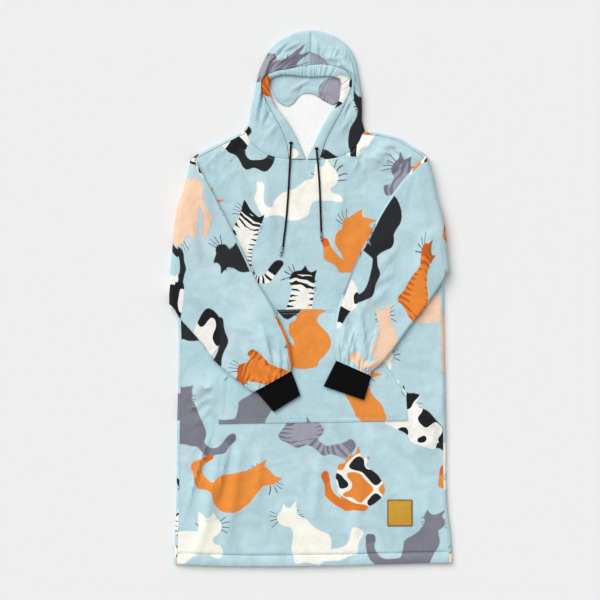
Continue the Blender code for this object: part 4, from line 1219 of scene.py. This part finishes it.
def section(under, top, mids, normal, half, bore):
    """One closed ring of a flattened tube, as two skins, from its upper edge round.

    Half and bore are how far the skins lie from the middle, all over or at each point.
    """
    half, bore = (np.broadcast_to(size, (len(mids), 1)) for size in (half, bore))
    turn = np.linspace(0, math.pi, CAP + 1)[1:-1]
    swing = np.sin(turn)[:, None]
    outer = [mids + normal * half]
    inner = [mids + normal * bore]
    for tip, end, way in ((under, -1, 1), (top, 0, -1)):
        at, thick, hollow = mids[end], half[end], bore[end]
        reach = tip - at
        length = np.linalg.norm(reach)
        small = (length - (thick - hollow)) / length
        rise = way * np.cos(turn)[:, None]
        outer.append(at + reach * swing + normal * thick * rise)
        inner.append(at + reach * small * swing + normal * hollow * rise)
        if way == 1:
            outer.append((mids - normal * half)[::-1])
            inner.append((mids - normal * bore)[::-1])
    outer.append(outer[0][:1])
    inner.append(inner[0][:1])
    return np.concatenate(outer), np.concatenate(inner)


def two_skins(rings):
    """The outer and the inner skin of a row of rings, each as one grid."""
    return np.array([outer for outer, inner in rings]), np.array([inner for outer, inner in rings])


def sleeve_rings(hole, caps, rows, inward):
    """Rings of a sleeve from the armhole, over its fold and down to the cuff."""
    seam = armhole(hole, caps, SLEEVE_COLUMNS)[::-1]
    top, under = as_points(hole[0]), as_points(hole[-1])
    along = unit(under - top)
    outward = unit(np.array([-abs(along[1]) * inward, along[0] * inward]))
    rings = []
    steps = [(0.0, SEAM), (0.0, 1.4), (0.0, FOLD_REACH)]
    steps += [(math.radians(angle), FOLD_REACH) for angle in range(15, 181, 15)]
    for angle, reach in steps:
        move = outward * (reach + FOLD_RADIUS * math.sin(angle)) + along * FOLD_SLIDE * angle / math.pi
        z = ROUND + FOLD_RADIUS * (1 - math.cos(angle))
        normal = np.array([*(outward * math.sin(angle)), -math.cos(angle)])
        ends = [np.array([*(end + move), z]) for end in (under, top)]
        rings.append(section(*ends, raised(seam + move, z), normal, ROUND, BORE))
    high = ROUND + 2 * FOLD_RADIUS
    last = len(rows) - 1
    for index in np.linspace(0, last, last * RING_STEPS + 1):
        values = between_rows(rows, [index])[0]
        upper, lower, bow = values[:2], values[2:4], values[4]
        chord = lower - upper
        length = np.linalg.norm(chord)
        side = np.array([chord[1], -chord[0]]) / length * inward
        half = ROUND - 1.4 * smoothstep(index, last - 3, last)
        s = np.linspace(half / length, 1 - half / length, SLEEVE_COLUMNS + 1)
        plan = upper + s[:, None] * chord + side * (bow * np.sin(math.pi * s))[:, None]
        away, _ = from_segment(plan, top + outward * 3, under + outward * 3)
        level = rest(plan) + half
        level = level + (high - level) * hill(away, 34)
        tips = [np.array([*lower, level[-1]]), np.array([*upper, level[0]])]
        outer, inner = section(*tips, raised(plan, level), UP, half, half - CLOTH)
        belly = np.sin(math.pi * s)
        swell = SLEEVE_DEPTH * ridges(SLEEVE_FOLDS, plan) * belly**0.5
        slow = 1.3 * wander(plan, (60, 90), 0.6, 51) + 0.18 * creases(plan, (24, 52), 0.7, 52)
        swell += (slow + SLEEVE_DEPTH * spots(SLEEVE_CRUSH, plan)) * belly**0.7
        gather = smoothstep(index, last - 5, last - 1) * (1 - 0.6 * smoothstep(index, last - 1, last))
        wave = 0.5 - 0.5 * np.cos(2 * math.pi * GATHER_WAVES * (s + 0.04 * math.sin(2.1 * index)))
        tuck = smoothstep(index, last - 3.8, last - 0.2)
        fine = np.abs(
            np.sin(math.pi * TUCK_WAVES * (s + 0.05 * np.sin(7 * s) + 0.012 * math.sin(3 * index)))
        )
        swell += GATHER_HEIGHT * wave * gather + TUCK_HEIGHT * (fine - 0.4) * tuck * belly**0.5
        swell[[0, -1]] = 0
        count = len(s)
        outer[:count, 2] += swell
        inner[:count, 2] = np.maximum(inner[:count, 2] + swell, level - (half - CLOTH) + 0.2)
        rings.append((outer, inner))
    return two_skins(rings)


def way_round(outer):
    """How far each point of a ring is from the ring's first, along the ring."""
    steps = strides(outer, axis=1)
    return np.concatenate([np.zeros((len(outer), 1)), np.cumsum(steps, axis=1)], axis=1)


def tube_cut(outer, shift, turn):
    """Lays a tube's rings out flat: along it and all the way round it."""
    around = way_round(outer)
    around -= around[:, -1:] / 2
    middle = outer[:, : outer.shape[1] // 2].mean(axis=1)
    along = np.concatenate([[0.0], np.cumsum(strides(middle))])[:, None] + 0 * around
    spin = np.array([[math.cos(turn), math.sin(turn)], [-math.sin(turn), math.cos(turn)]])
    return np.stack([around, along], axis=-1) @ spin + np.array(shift)


sleeve_pieces = []
for hand, hole, caps, rows, inward, shift, turn in (
    ("left", ARMHOLE_LEFT, CAP_LEFT, SLEEVE_LEFT, 1, (1310.0, 45.0), 2.4),
    ("right", ARMHOLE_RIGHT, CAP_RIGHT, SLEEVE_RIGHT, -1, (2260.0, 560.0), -2.2),
):
    outer, inner = sleeve_rings(hole, caps, rows, inward)
    form = cloth_wall([(outer, inner, tube_cut(outer, shift, turn))])
    sleeve_pieces.append(keep(form, f"plush_sleeve_{hand}", f"sleeve_{hand}", "fleece", plush, sharp=80))

# %% [markdown]
# ## Cuffs
#
# A cuff is a tube of rib knit turned double, stretched on to the gathered sleeve. Its ribs run
# along the arm, so each ring carries the same row of waves.

# %% Cuffs
CUFF_LEFT = [(-48.5, -165.8, -130.2, -211.8), (-36.5, -196, -107, -238), (-28, -221, -89.5, -259)]
CUFF_RIGHT = [(54, -141.8, 134.5, -176.8), (39, -172, 126, -206), (25, -200, 118.5, -232)]
CUFF_HALF = 4.7
CUFF_CLOTH = 3.0
RIB_HEIGHT = 0.9


def cuff_rings(rows):
    """Rings of a cuff, closer together where its ends are rolled in."""
    rings = []
    for index in (0, 0.05, 0.15, 0.3, 0.5, 0.75, 1, 1.25, 1.5, 1.7, 1.85, 1.94, 2.0):
        values = between_rows(rows, [index])[0]
        upper, lower = values[:2], values[2:]
        chord = lower - upper
        length = np.linalg.norm(chord)
        s = np.linspace(CUFF_HALF / length, 1 - CUFF_HALF / length, RIBS * 6 + 1)
        plan = upper + s[:, None] * chord
        level = rest(plan) + CUFF_HALF
        rib = 0.5 - 0.5 * np.cos(2 * math.pi * RIBS * s)
        ends = 1.1 * (1 - smoothstep(2 - index, 0, 0.14)) + 0.8 * (1 - smoothstep(index, 0, 0.15))
        half = CUFF_HALF - RIB_HEIGHT * (1 - rib)[:, None] - ends
        tips = [np.array([*lower, level[-1]]), np.array([*upper, level[0]])]
        rings.append(section(*tips, raised(plan, level), UP, half, CUFF_HALF - CUFF_CLOTH))
    return two_skins(rings)


cuff_pieces = []
for hand, rows in (("left", CUFF_LEFT), ("right", CUFF_RIGHT)):
    outer, inner = cuff_rings(rows)
    form = cloth_wall([(outer, inner, tube_cut(outer, (0.0, 0.0), 0.0))])
    cuff_pieces.append(keep(form, f"rib_cuff_{hand}", f"cuff_{hand}", "rib", rib_knit, sharp=80))

# %% [markdown]
# ## Hood
#
# The hood is two shaped halves with a seam over the crown. It lies open and face up, so each half
# runs from the casing's stitch line over its fold and back under. The long creases beside the
# opening are where the halves have folded over themselves.

# %% Hood tables
STITCH_LEFT = [
    (-54, 322), (-60, 358.8), (-75, 395), (-91, 425.5), (-107, 455), (-117, 478), (-117.5, 497),
    (-108, 513), (-84, 524), (-52, 530), (-24, 536), (-3.6, 538.7),
]
STITCH_RIGHT = [
    (17, 322), (33, 366), (52.7, 404.8), (69.7, 434.7), (81, 462), (90, 486), (89.7, 507), (80, 523),
    (60, 533), (36, 539), (14, 540), (-3.6, 538.7),
]
EDGE_LEFT = [
    (-15.4, 321.4), (-33, 362.5), (-52, 398.6), (-71, 425.5), (-84.6, 440.7), (-94.3, 464.6), (-100, 488),
    (-95, 505), (-80, 513), (-52.4, 514.5), (-24, 512), (-3.6, 510),
]
EDGE_RIGHT = [
    (-14.2, 321.4), (4.8, 358.8), (24, 398.6), (43, 429), (56, 447), (64.4, 469), (67.9, 490), (62, 505),
    (46, 511), (28, 512), (10, 511), (-3.6, 510),
]
CROWN_LEFT = [
    (-160, 387), (-147, 407), (-141, 440), (-136, 462), (-132, 482), (-129, 500), (-124, 520),
    (-114, 545), (-98, 573), (-66, 601), (-30, 615), (-3.6, 619),
]
CROWN_RIGHT = [
    (121, 386), (114, 412), (114, 438), (113, 464), (110, 490), (105, 520), (97, 553), (84, 579),
    (64, 597), (40, 610), (15, 617), (-3.6, 619),
]
BACK_SEAM = [(-21, 381), (-17, 400), (-13, 420), (-9, 442), (-6, 462), (-3.6, 484)]
HOOD_FOLDS = [
    (-134, 402, -125, 476, 7, 1.6), (-124, 402, -114, 476, 6, -2.4), (-116, 486, -96, 566, 7, 2.4),
    (-106, 500, -84, 556, 6, -1.6), (-112, 400, -96, 432, 6, -1.6), (-98, 560, -58, 590, 7, 1.8),
    (-80, 545, -40, 560, 9, 1.6), (-106, 372, -84, 398, 7, 1.8), (-84, 350, -70, 372, 6, 1.2),
    (94, 470, 96, 540, 6, 2.2), (100, 420, 98, 462, 6, 1.8), (86, 550, 60, 580, 8, 1.6),
    (76, 420, 92, 456, 5, -1.4), (58, 372, 84, 412, 8, 1.6), (24, 556, 60, 548, 9, 1.4),
    (-119, 440, -113, 486, 3, -2.2), (-113, 486, -98, 540, 3, -2.4), (-98, 540, -60, 582, 3, -2.0),
    (-72, 566, -30, 590, 5, 1.4), (64, 536, 90, 514, 4, -2.0), (90, 514, 101, 466, 4, -2.4),
    (12, 548, 8, 596, 5, 1.6), (-20, 545, -15, 590, 5, 1.4),
]
HOOD_CRUSH = [
    (-100, 560, 34, 1.7, 0.5), (-60, 548, 34, 1.8, 0.1), (64, 552, 34, 1.6, -0.4),
    (96, 480, 30, 1.3, 0.1), (-125, 430, 34, 1.3, 0.2), (90, 380, 36, 1.4, 0.7),
    (-110, 370, 30, 1.3, -0.7),
]
HOOD_HALF = 9.0
HOOD_SWELL = 1.6
HOOD_STEPS = 10
HOOD_DEPTH = 3.8
CROWN_GROOVE = 2.8


# %% Hood halves
def hood_half(hand, crown_rows, stitch_rows, neck_rows, neck_tip, inward, shift):
    """Half the hood: from the casing's stitch line over the fold and under."""
    last = len(crown_rows) - 1
    k = np.linspace(0, last, last * HOOD_STEPS + 1)
    crown = between_rows(crown_rows, k)
    stitch = between_rows(stitch_rows, k)
    normal = beside(crown) * inward
    half = ROUND + (HOOD_HALF - ROUND) * smoothstep(k, 0, 3)
    inset = crown + normal * half[:, None]
    inset[-1] = crown[-1] - np.array([0, HOOD_HALF])
    inset[0] = neck_tip
    under_end = curve(BACK_SEAM, k / last)
    across = np.linspace(0, 1, len(neck_rows))
    rings = []
    for i, at in enumerate(k):
        line = stitch[i] + across[:, None] * (inset[i] - stitch[i])
        over = neck_rows + (line - neck_rows) * min(at, 1.0)
        under = inset[i] + np.linspace(0, 1, 10)[:, None] * (under_end[i] - inset[i])
        calm = np.sin(math.pi * np.clip(across * 0.92 + 0.08, 0, 1)) ** 0.6 * min(at, 2) / 2
        calm = calm * smoothstep(last - at, -0.2, 1.2)
        swell = HOOD_SWELL * np.sin(math.pi * across) * min(at, 3) / 3
        slow = 0.9 * wander(over, (46, 60), 0.3, 71)
        swell = swell + (HOOD_DEPTH * (ridges(HOOD_FOLDS, over) + spots(HOOD_CRUSH, over)) + slow) * calm
        pucker = 1.5 * wander(np.array([at * 9.0 + 40 * inward, 0.0]), (2.9, 9), 0, 83)
        reach = gap_to_line(over, over[:1])
        swell = swell + pucker * hill(reach - 9, 12) * smoothstep(at, 3.5, 6) * calm
        seam = 1.5 * hill(gap_to_line(over, neck_rows), 4)
        seam = seam + CROWN_GROOVE * hill(over[:, 0] - MIDDLE, 3.0) * smoothstep(at, last - 2.5, last - 1)
        full = 2 * half[i]
        out_cap, in_cap = wrap(inset[i : i + 1], crown[i : i + 1], half[i])
        outer = np.concatenate(
            [raised(over, full + swell - seam), out_cap[0][::-1][1:-1], raised(under, 0)]
        )
        inner = np.concatenate(
            [raised(over, full + swell - CLOTH), in_cap[0][::-1][1:-1], raised(under, CLOTH)]
        )
        rings.append((outer, inner))
    outer, inner = two_skins(rings)
    move = np.tile(np.array([0.22 * inward, 0.32, 0]), (outer.shape[1], 1))
    move[-1, 0] = 0
    outer[0] += move
    inner[0] += move
    for skin in (outer, inner):
        skin[-1, :, 0] -= 0.15 * inward
        skin[:, -1, 0] -= 0.15 * inward
    cut = np.stack(
        [outer[:, :1, 0] - inward * way_round(outer), outer[..., 1]], axis=-1
    ) + np.array(shift)
    form = cloth_wall([(outer, inner, cut)])
    return keep(form, f"hood_{hand}_half", f"hood_{hand}", "fleece", plush, sharp=80)


hood_pieces = [
    hood_half(hand, crown, stitch, neck_rows, as_points(neck_tip), inward, shift)
    for hand, crown, stitch, neck_rows, neck_tip, inward, shift in (
        ("left", CROWN_LEFT, STITCH_LEFT, neck_line[5 * FINE :: -1], NECK_LEFT, 1, (3880, -20)),
        ("right", CROWN_RIGHT, STITCH_RIGHT, neck_line[9 * FINE :], NECK_RIGHT, -1, (4180, -680)),
    )
]

# %% [markdown]
# ## Casing
#
# The hood's front edge is turned in to a casing for the drawcord. Pulling the cord up gathers it,
# so round the top it is crimped into small folds across its width, while the two legs of the V
# stay nearly smooth. It is a hollow band of cloth, with the cord's room inside.

# %% Casing
CASING = 7.0
CASING_CLOTH = 2.0
CRIMP_PITCH = 2.6
CRIMP_HEIGHT = 3.0


def casing():
    turn = np.linspace(0, 2 * math.pi, 25)
    wide = np.sign(np.cos(turn)) * np.abs(np.cos(turn)) ** 0.75
    tall = np.sign(np.sin(turn)) * np.abs(np.sin(turn)) ** 0.75
    last = len(STITCH_LEFT) - 1
    k = np.linspace(0, last, last * 12 + 1)
    rings = []
    for stitch_rows, edge_rows, order, inward in (
        (STITCH_LEFT, EDGE_LEFT, k, 1), (STITCH_RIGHT, EDGE_RIGHT, k[-2::-1], -1)
    ):
        for at in order:
            stitch = between_rows(stitch_rows, [at])[0]
            inner_end = between_rows(edge_rows, [at])[0]
            low_gap = np.array([inward * 0.9, 0.0])
            high_gap = np.array([inward * 0.3 * (last - at) / 4, -0.9])
            outer_end = stitch + low_gap + (high_gap - low_gap) * smoothstep(at, 6, 7)
            gather = smoothstep(at, 3.5, 6.5)
            phase = at * CRIMP_PITCH + 0.8 * math.sin(1.9 * at + inward)
            crimp = abs(math.sin(math.pi * phase)) - 0.4
            fine = wander(np.array([at * 9.0 + 50 * inward, 0.0]), (3.1, 9), 0, 81)
            reach = outer_end - inner_end
            inner_end = inner_end - unit(reach) * (1.6 * crimp * gather)
            low = BODY - CLOTH + 0.3 + (2 * (HOOD_HALF - ROUND) + 0.3) * smoothstep(at, 0, 3)
            middle = low + CASING / 2
            centre = (outer_end + inner_end) / 2
            reach = (outer_end - inner_end) / 2
            top = np.clip(tall, 0, 1)
            lift = (CRIMP_HEIGHT * crimp * gather + 0.9 * fine * (0.4 + 0.6 * gather)) * top
            bump = 0.7 * hill(wide - 0.1, 0.6) * top
            z = middle + tall * CASING / 2 + lift + bump
            length = np.linalg.norm(reach)
            small = centre + wide[:, None] * reach * (length - CASING_CLOTH) / length
            hollow = raised(small, middle + tall * (CASING / 2 - CASING_CLOTH) + lift)
            rings.append((raised(centre + wide[:, None] * reach, z), hollow))
    outer, inner = two_skins(rings)
    for skin in (outer, inner):
        skin[0, :, 1] += 0.9
        skin[-1, :, 1] += 0.9
    form = cloth_wall([(outer, inner, tube_cut(outer, (4270.0, 60.0), 0.0))])
    return keep(form, "drawcord_casing", "hood_casing", "fleece", plush, sharp=80)


casing_piece = casing()

# %% [markdown]
# ## Inside the hood
#
# Under the brim a band of the printed plush faces the lining. Its lower edge is hemmed and free,
# and sags in a wide fold. Below it the hood is lined with sherpa, which has a seam down its
# middle.

# %% Facing and lining
FACING_EDGE = [
    (-93, 482), (-84.6, 460), (-71, 448.5), (-58, 444), (-45, 450), (-33, 463.5), (-22, 471.5),
    (-10, 473), (1, 471), (12.6, 465.5), (24, 457.7), (35, 452), (47, 447), (59, 452),
]
FACING_TOP = [(-97, 506), (-60, 524), (0, 527), (45, 523), (62, 500)]
FACING_FOLDS = [
    (-50, 478, -8, 504, 7, 2.6), (-78, 462, -42, 466, 12, 1.6), (-14, 482, 38, 474, 8, 1.7),
    (24, 494, 50, 468, 9, 1.5), (-30, 470, -22, 496, 5, -1.2),
]
LINING_LEFT = [(-42, 311), (-62, 350), (-88, 400), (-106, 450), (-112, 500), (-84, 545)]
LINING_RIGHT = [(20, 311), (34, 350), (58, 400), (78, 450), (86, 500), (66, 545)]
FACING_WALL = 3.0
FACING_LEVEL = 8.2
LINING_WALL = 2.3
LINING_LIMIT = 2.75


def facing():
    places = finer(spacing(as_points(FACING_EDGE)), 6)
    lower = curve(FACING_EDGE, places)
    upper = curve(FACING_TOP, np.linspace(0, 1, len(lower)))
    across = np.concatenate([[0, 0.02, 0.05, 0.09], np.linspace(0.14, 1, 22)])[:, None, None]
    plan = lower[None] * (1 - across) + upper[None] * across
    share = across[..., 0]
    low = FACING_LEVEL + 1.4 * share + 0 * plan[..., 0]
    swell = 0.7 * np.sin(math.pi * share) * (0.5 + 0.5 * np.cos(plan[..., 0] / 9))
    open_part = 1 - smoothstep(share, 0.5, 0.8)
    swell = swell + (1.6 * ridges(FACING_FOLDS, plan) + 0.8 * wander(plan, (22, 22), 0.4, 91)) * open_part
    from_edge = gap_to_line(plan, plan[:1])
    ripple = wander(plan, (7, 30), 0, 92) * hill(from_edge - 8, 6)
    swell = swell + 0.5 * ripple - 0.8 * hill(from_edge - 7, 2) * open_part
    roll = 1.0 * (1 - smoothstep(share, 0, 0.07))
    base = np.maximum(low + np.clip(swell, 0, 9) * 0.8 + roll * 0.6, FACING_LEVEL)
    top = np.maximum(low + FACING_WALL + swell - roll, base + 0.6)
    return laid(
        plan, top, base, (4900, 450), "hood_facing_band", "hood_facing", "fleece", plush, sharp=80
    )


def lining():
    places = np.linspace(0, 1, 44)
    left = curve(LINING_LEFT, places)
    right = curve(LINING_RIGHT, places)
    across = np.linspace(0, 1, 41)[None, :, None]
    plan = left[:, None] * (1 - across) + right[:, None] * across
    low = CLOTH + SEAM
    seam = hill(plan[..., 0] - MIDDLE, 2.2) * smoothstep(plan[..., 1], 400, 440)
    lumps = 0.2 * wander(plan, (9, 9), 0.2, 95) + 0.4 * wander(plan, (30, 40), 0.2, 96)
    top = low + LINING_WALL + lumps - 0.9 * seam
    top = np.minimum(top, low + LINING_LIMIT)
    return laid(plan, top, low, (0, 0), "sherpa_lining", "hood_lining", "sherpa", sherpa, sharp=80)


facing_piece = facing()
lining_piece = lining()

# %% [markdown]
# ## Label
#
# A leather label is die-cut, so its outline is crisp and its rim a little burnished, and it is
# sewn on with brown thread near its edge. It carries nothing else here.

# %% Leather label
def label():
    form = bmesh.new()
    bmesh.ops.create_cube(form, size=1)
    bmesh.ops.scale(form, vec=(LABEL_SIZE[0] * MM, LABEL_SIZE[1] * MM, LABEL_WALL * MM), verts=form.verts)
    upright = [edge for edge in form.edges if abs(edge.verts[0].co.z - edge.verts[1].co.z) > 1e-5]
    bmesh.ops.bevel(
        form, geom=upright, offset=0.002, segments=5, profile=0.5, affect="EDGES", material=-1
    )
    rims = [edge for edge in form.edges if min(edge.verts[0].co.z, edge.verts[1].co.z) > 0]
    bmesh.ops.bevel(form, geom=rims, offset=0.0005, segments=3, profile=0.5, affect="EDGES", material=-1)
    middle = (as_points([*LABEL_MIDDLE, BODY + SEAM + LABEL_WALL / 2]) + SHIFT) * MM
    bmesh.ops.translate(form, vec=middle, verts=form.verts)
    bmesh.ops.recalc_face_normals(form, faces=form.faces)
    return keep(form, "leather_label", "label_patch", "leather", leather, sharp=20)


label_piece = label()

# %% [markdown]
# ## Topstitching
#
# Lockstitch shows as short separate stitches, about 3 mm long here, each pulled into the cloth at
# its ends. Each is one small stretched ball, laid along a line and dropped on to the piece below
# it, which a ray straight down finds.

# %% Stitches
from mathutils.bvhtree import BVHTree

STITCH_LENGTH = 3.0
STITCH_STEP = 4.2
STITCH_LIFT = 0.05
STITCH_HEIGHT = 0.42  # as a share of the thread's width
THREAD = 1.0
BARTACK = 13.0
BARTACK_WIDTH = 3.0
NECK_GAP = 5.5
CASING_GAP = 3.2
FACING_GAPS = (3.0, 7.2)
LABEL_MARGIN = 2.4


def heights_on(pieces):
    """A function that gives the top of these pieces under a point, in metres."""
    trees = []
    for piece in pieces:
        form = bmesh.new()
        form.from_mesh(piece.data)
        trees.append(BVHTree.FromBMesh(form))
        form.free()

    def top(x, y):
        hits = [tree.ray_cast((x, y, 0.2), (0, 0, -1))[0] for tree in trees]
        return max([hit.z for hit in hits if hit is not None], default=None)

    return top


form = bmesh.new()
bmesh.ops.create_uvsphere(form, u_segments=6, v_segments=4, radius=1)
one_stitch = bpy.data.meshes.new("one_stitch")
form.to_mesh(one_stitch)
form.free()


def stitch_line(form, line, top, width, step=STITCH_STEP, length=STITCH_LENGTH):
    """Copies of one stitch along a line of points in millimetres."""
    line = as_points(line)
    total = strides(line).sum()
    count = int(total / step)
    at = (np.arange(count) + 0.5) / count
    places = spacing(line)
    spots, ahead, behind = (
        np.column_stack([np.interp(np.clip(at + move, 0, 1), places, line[:, axis]) for axis in (0, 1)])
        for move in (0, 0.004, -0.004)
    )
    for spot, run in zip((spots + SHIFT[:2]) * MM, ahead - behind):
        z = top(*spot)
        if z is None:
            continue
        size = Matrix.Diagonal((length / 2 * MM, width / 2 * MM, width * STITCH_HEIGHT * MM, 1))
        turn = Matrix.Rotation(math.atan2(run[1], run[0]), 4, "Z")
        place = Matrix.Translation((spot[0], spot[1], z + STITCH_LIFT * MM)) @ turn @ size
        one_stitch.transform(place)
        form.from_mesh(one_stitch)
        one_stitch.transform(place.inverted())


def inner_line(outline, gap):
    """Corners of the convex outline when its sides are moved in by a gap."""
    points = as_points(outline)
    sides = []
    for start, end in zip(points, np.roll(points, -1, axis=0)):
        run = unit(end - start)
        sides.append((start + np.array([run[1], -run[0]]) * gap, run))
    corners = []
    for (before, before_run), (start, run) in zip(sides[-1:] + sides, sides):
        cross = before_run[0] * run[1] - before_run[1] * run[0]
        gap_to = start - before
        reach = (gap_to[0] * run[1] - gap_to[1] * run[0]) / cross
        corners.append(before + before_run * reach)
    return np.array(corners)


body_top, pocket_top, hood_top, facing_top, label_top = map(
    heights_on, ([front_piece], [pocket_piece], hood_pieces, [facing_piece], [label_piece])
)

form = bmesh.new()
hem_points = curve(HEM, np.linspace(0.012, 0.988, 120))
for rise in HEM_STITCHES:
    stitch_line(form, hem_points + np.array([0, rise]), body_top, THREAD)
for gap in POCKET_STITCHES:
    corners = inner_line(POCKET_OUTLINE, gap)
    stitch_line(form, np.concatenate([corners, corners[:1]]), pocket_top, THREAD)
# A bartack is a bar of dense stitches across the seam where a hand pulls at it.
for corner, toward in ((1, 2), (2, 1), (3, 4), (4, 3)):
    start = inner_line(POCKET_OUTLINE, 4.5)[corner]
    run = as_points(POCKET_OUTLINE[toward]) - as_points(POCKET_OUTLINE[corner])
    bar = start + np.array([[0], [BARTACK]]) * unit(run)
    stitch_line(form, bar, pocket_top, BARTACK_WIDTH, step=1.0, length=1.3)
neck_points = curve(NECK, np.linspace(0.03, 0.97, 90))
stitch_line(form, neck_points - np.array([0, NECK_GAP]), body_top, 0.9 * THREAD)
for rows, inward in ((STITCH_LEFT, 1), (STITCH_RIGHT, -1)):
    seam = between_rows(rows, np.linspace(0.3, 10.7, 120))
    stitch_line(form, seam - beside(seam) * inward * CASING_GAP, hood_top, 0.9 * THREAD)
edge = curve(FACING_EDGE, np.linspace(0.04, 0.96, 120))
for rise in FACING_GAPS:
    stitch_line(form, edge + np.array([0, rise]), facing_top, 0.8 * THREAD)
keep(form, "topstitching", None, "fleece", blue_thread)

form = bmesh.new()
corners = as_points([(-1, -1), (-1, 1), (1, 1), (1, -1), (-1, -1)])
square = as_points(LABEL_MIDDLE) + corners * (as_points(LABEL_SIZE) / 2 - LABEL_MARGIN)
stitch_line(form, square, label_top, 1.3, step=3.8)
keep(form, "label_stitching", None, "leather", brown_thread)

# %% [markdown]
# ## Floor and light
#
# The garment lies on a pale table. A large soft light from the upper left gives each fold a lit
# and a shaded side, and a bright room fills the rest.

# %% Floor and lights
floor_paint, _, _ = new_material(
    "matt_white_paint", {"Base Color": colour("F0F0F0"), "Roughness": 0.9, "Specular IOR Level": 0.0}
)
form = bmesh.new()
bmesh.ops.create_grid(form, x_segments=1, y_segments=1, size=40)
bmesh.ops.translate(form, vec=(0, 0, -0.0004), verts=form.verts)
mesh = bpy.data.meshes.new("table")
form.to_mesh(mesh)
form.free()
mesh.materials.append(floor_paint)
table = bpy.data.objects.new("table", mesh)
bpy.context.scene.collection.objects.link(table)

ROOM_LIGHT = 0.42
SUN_LIGHT = 2.41
SUN_WIDTH = 50
world = bpy.data.worlds.new("bright_room")
world.use_nodes = True
feed(world.node_tree.nodes["Background"], {"Color": (1, 1, 1, 1), "Strength": ROOM_LIGHT})
bpy.context.scene.world = world
bpy.context.scene.view_settings.view_transform = "Standard"

window_light = bpy.data.lights.new("large_softbox", "SUN")
window_light.energy = SUN_LIGHT
window_light.angle = math.radians(SUN_WIDTH)
window = bpy.data.objects.new("large_softbox", window_light)
window.rotation_euler = (math.radians(-42), 0, math.radians(38))
window.location = (-0.6, 2.2, 2.4)
bpy.context.scene.collection.objects.link(window)
print("room light", ROOM_LIGHT, "and sun", SUN_LIGHT)

# %% [markdown]
# ## Cut sizes
#
# Each cloth piece says how large it was cut. Its UV map is that cut, so its extent and area are
# measured there: all the way round on a tube, and only what shows of the lining and facing.

# %% Cut sizes
def cut_size(piece):
    """Width, length and area of the piece's cut cloth, in metres, and its measured area."""
    form = bmesh.new()
    form.from_mesh(piece.data)
    cloth = form.loops.layers.uv["cloth"]
    flat, whole = 0.0, 0.0
    corners = []
    for face in form.faces:
        uv = [tuple(loop[cloth].uv) for loop in face.loops]
        corners.extend(uv)
        flat += abs(sum(a[0] * b[1] - b[0] * a[1] for a, b in zip(uv, uv[1:] + uv[:1]))) / 2
        whole += face.calc_area()
    form.free()
    corners = np.unique(np.array(corners), axis=0)
    sizes = []
    for turn in np.linspace(0, math.pi / 2, 61):
        across = corners @ np.array([math.cos(turn), math.sin(turn)])
        up = corners @ np.array([-math.sin(turn), math.cos(turn)])
        sizes.append((float(np.ptp(across)), float(np.ptp(up))))
    width, length = min(sizes, key=lambda size: size[0] * size[1])
    return width, length, flat / 2, whole / 2


for piece, held, rests_on in (
    (back_piece, "laid", ["table"]), (front_piece, "laid", [back_piece]),
    (pocket_piece, "laid", [front_piece]), (sleeve_pieces[0], "folded", [front_piece]),
    (sleeve_pieces[1], "folded", [front_piece]), (cuff_pieces[0], "folded", [pocket_piece]),
    (cuff_pieces[1], "folded", [pocket_piece]), (hood_pieces[0], "folded", ["table"]),
    (hood_pieces[1], "folded", ["table"]), (casing_piece, "gathered", [hood_pieces[0], hood_pieces[1]]),
    (facing_piece, "gathered", [lining_piece]), (lining_piece, "laid", [hood_pieces[0], hood_pieces[1]]),
):
    width, length, area, measured = cut_size(piece)
    print(piece.name, "cut", *(round(size, 3) for size in (width, length, area, measured)))
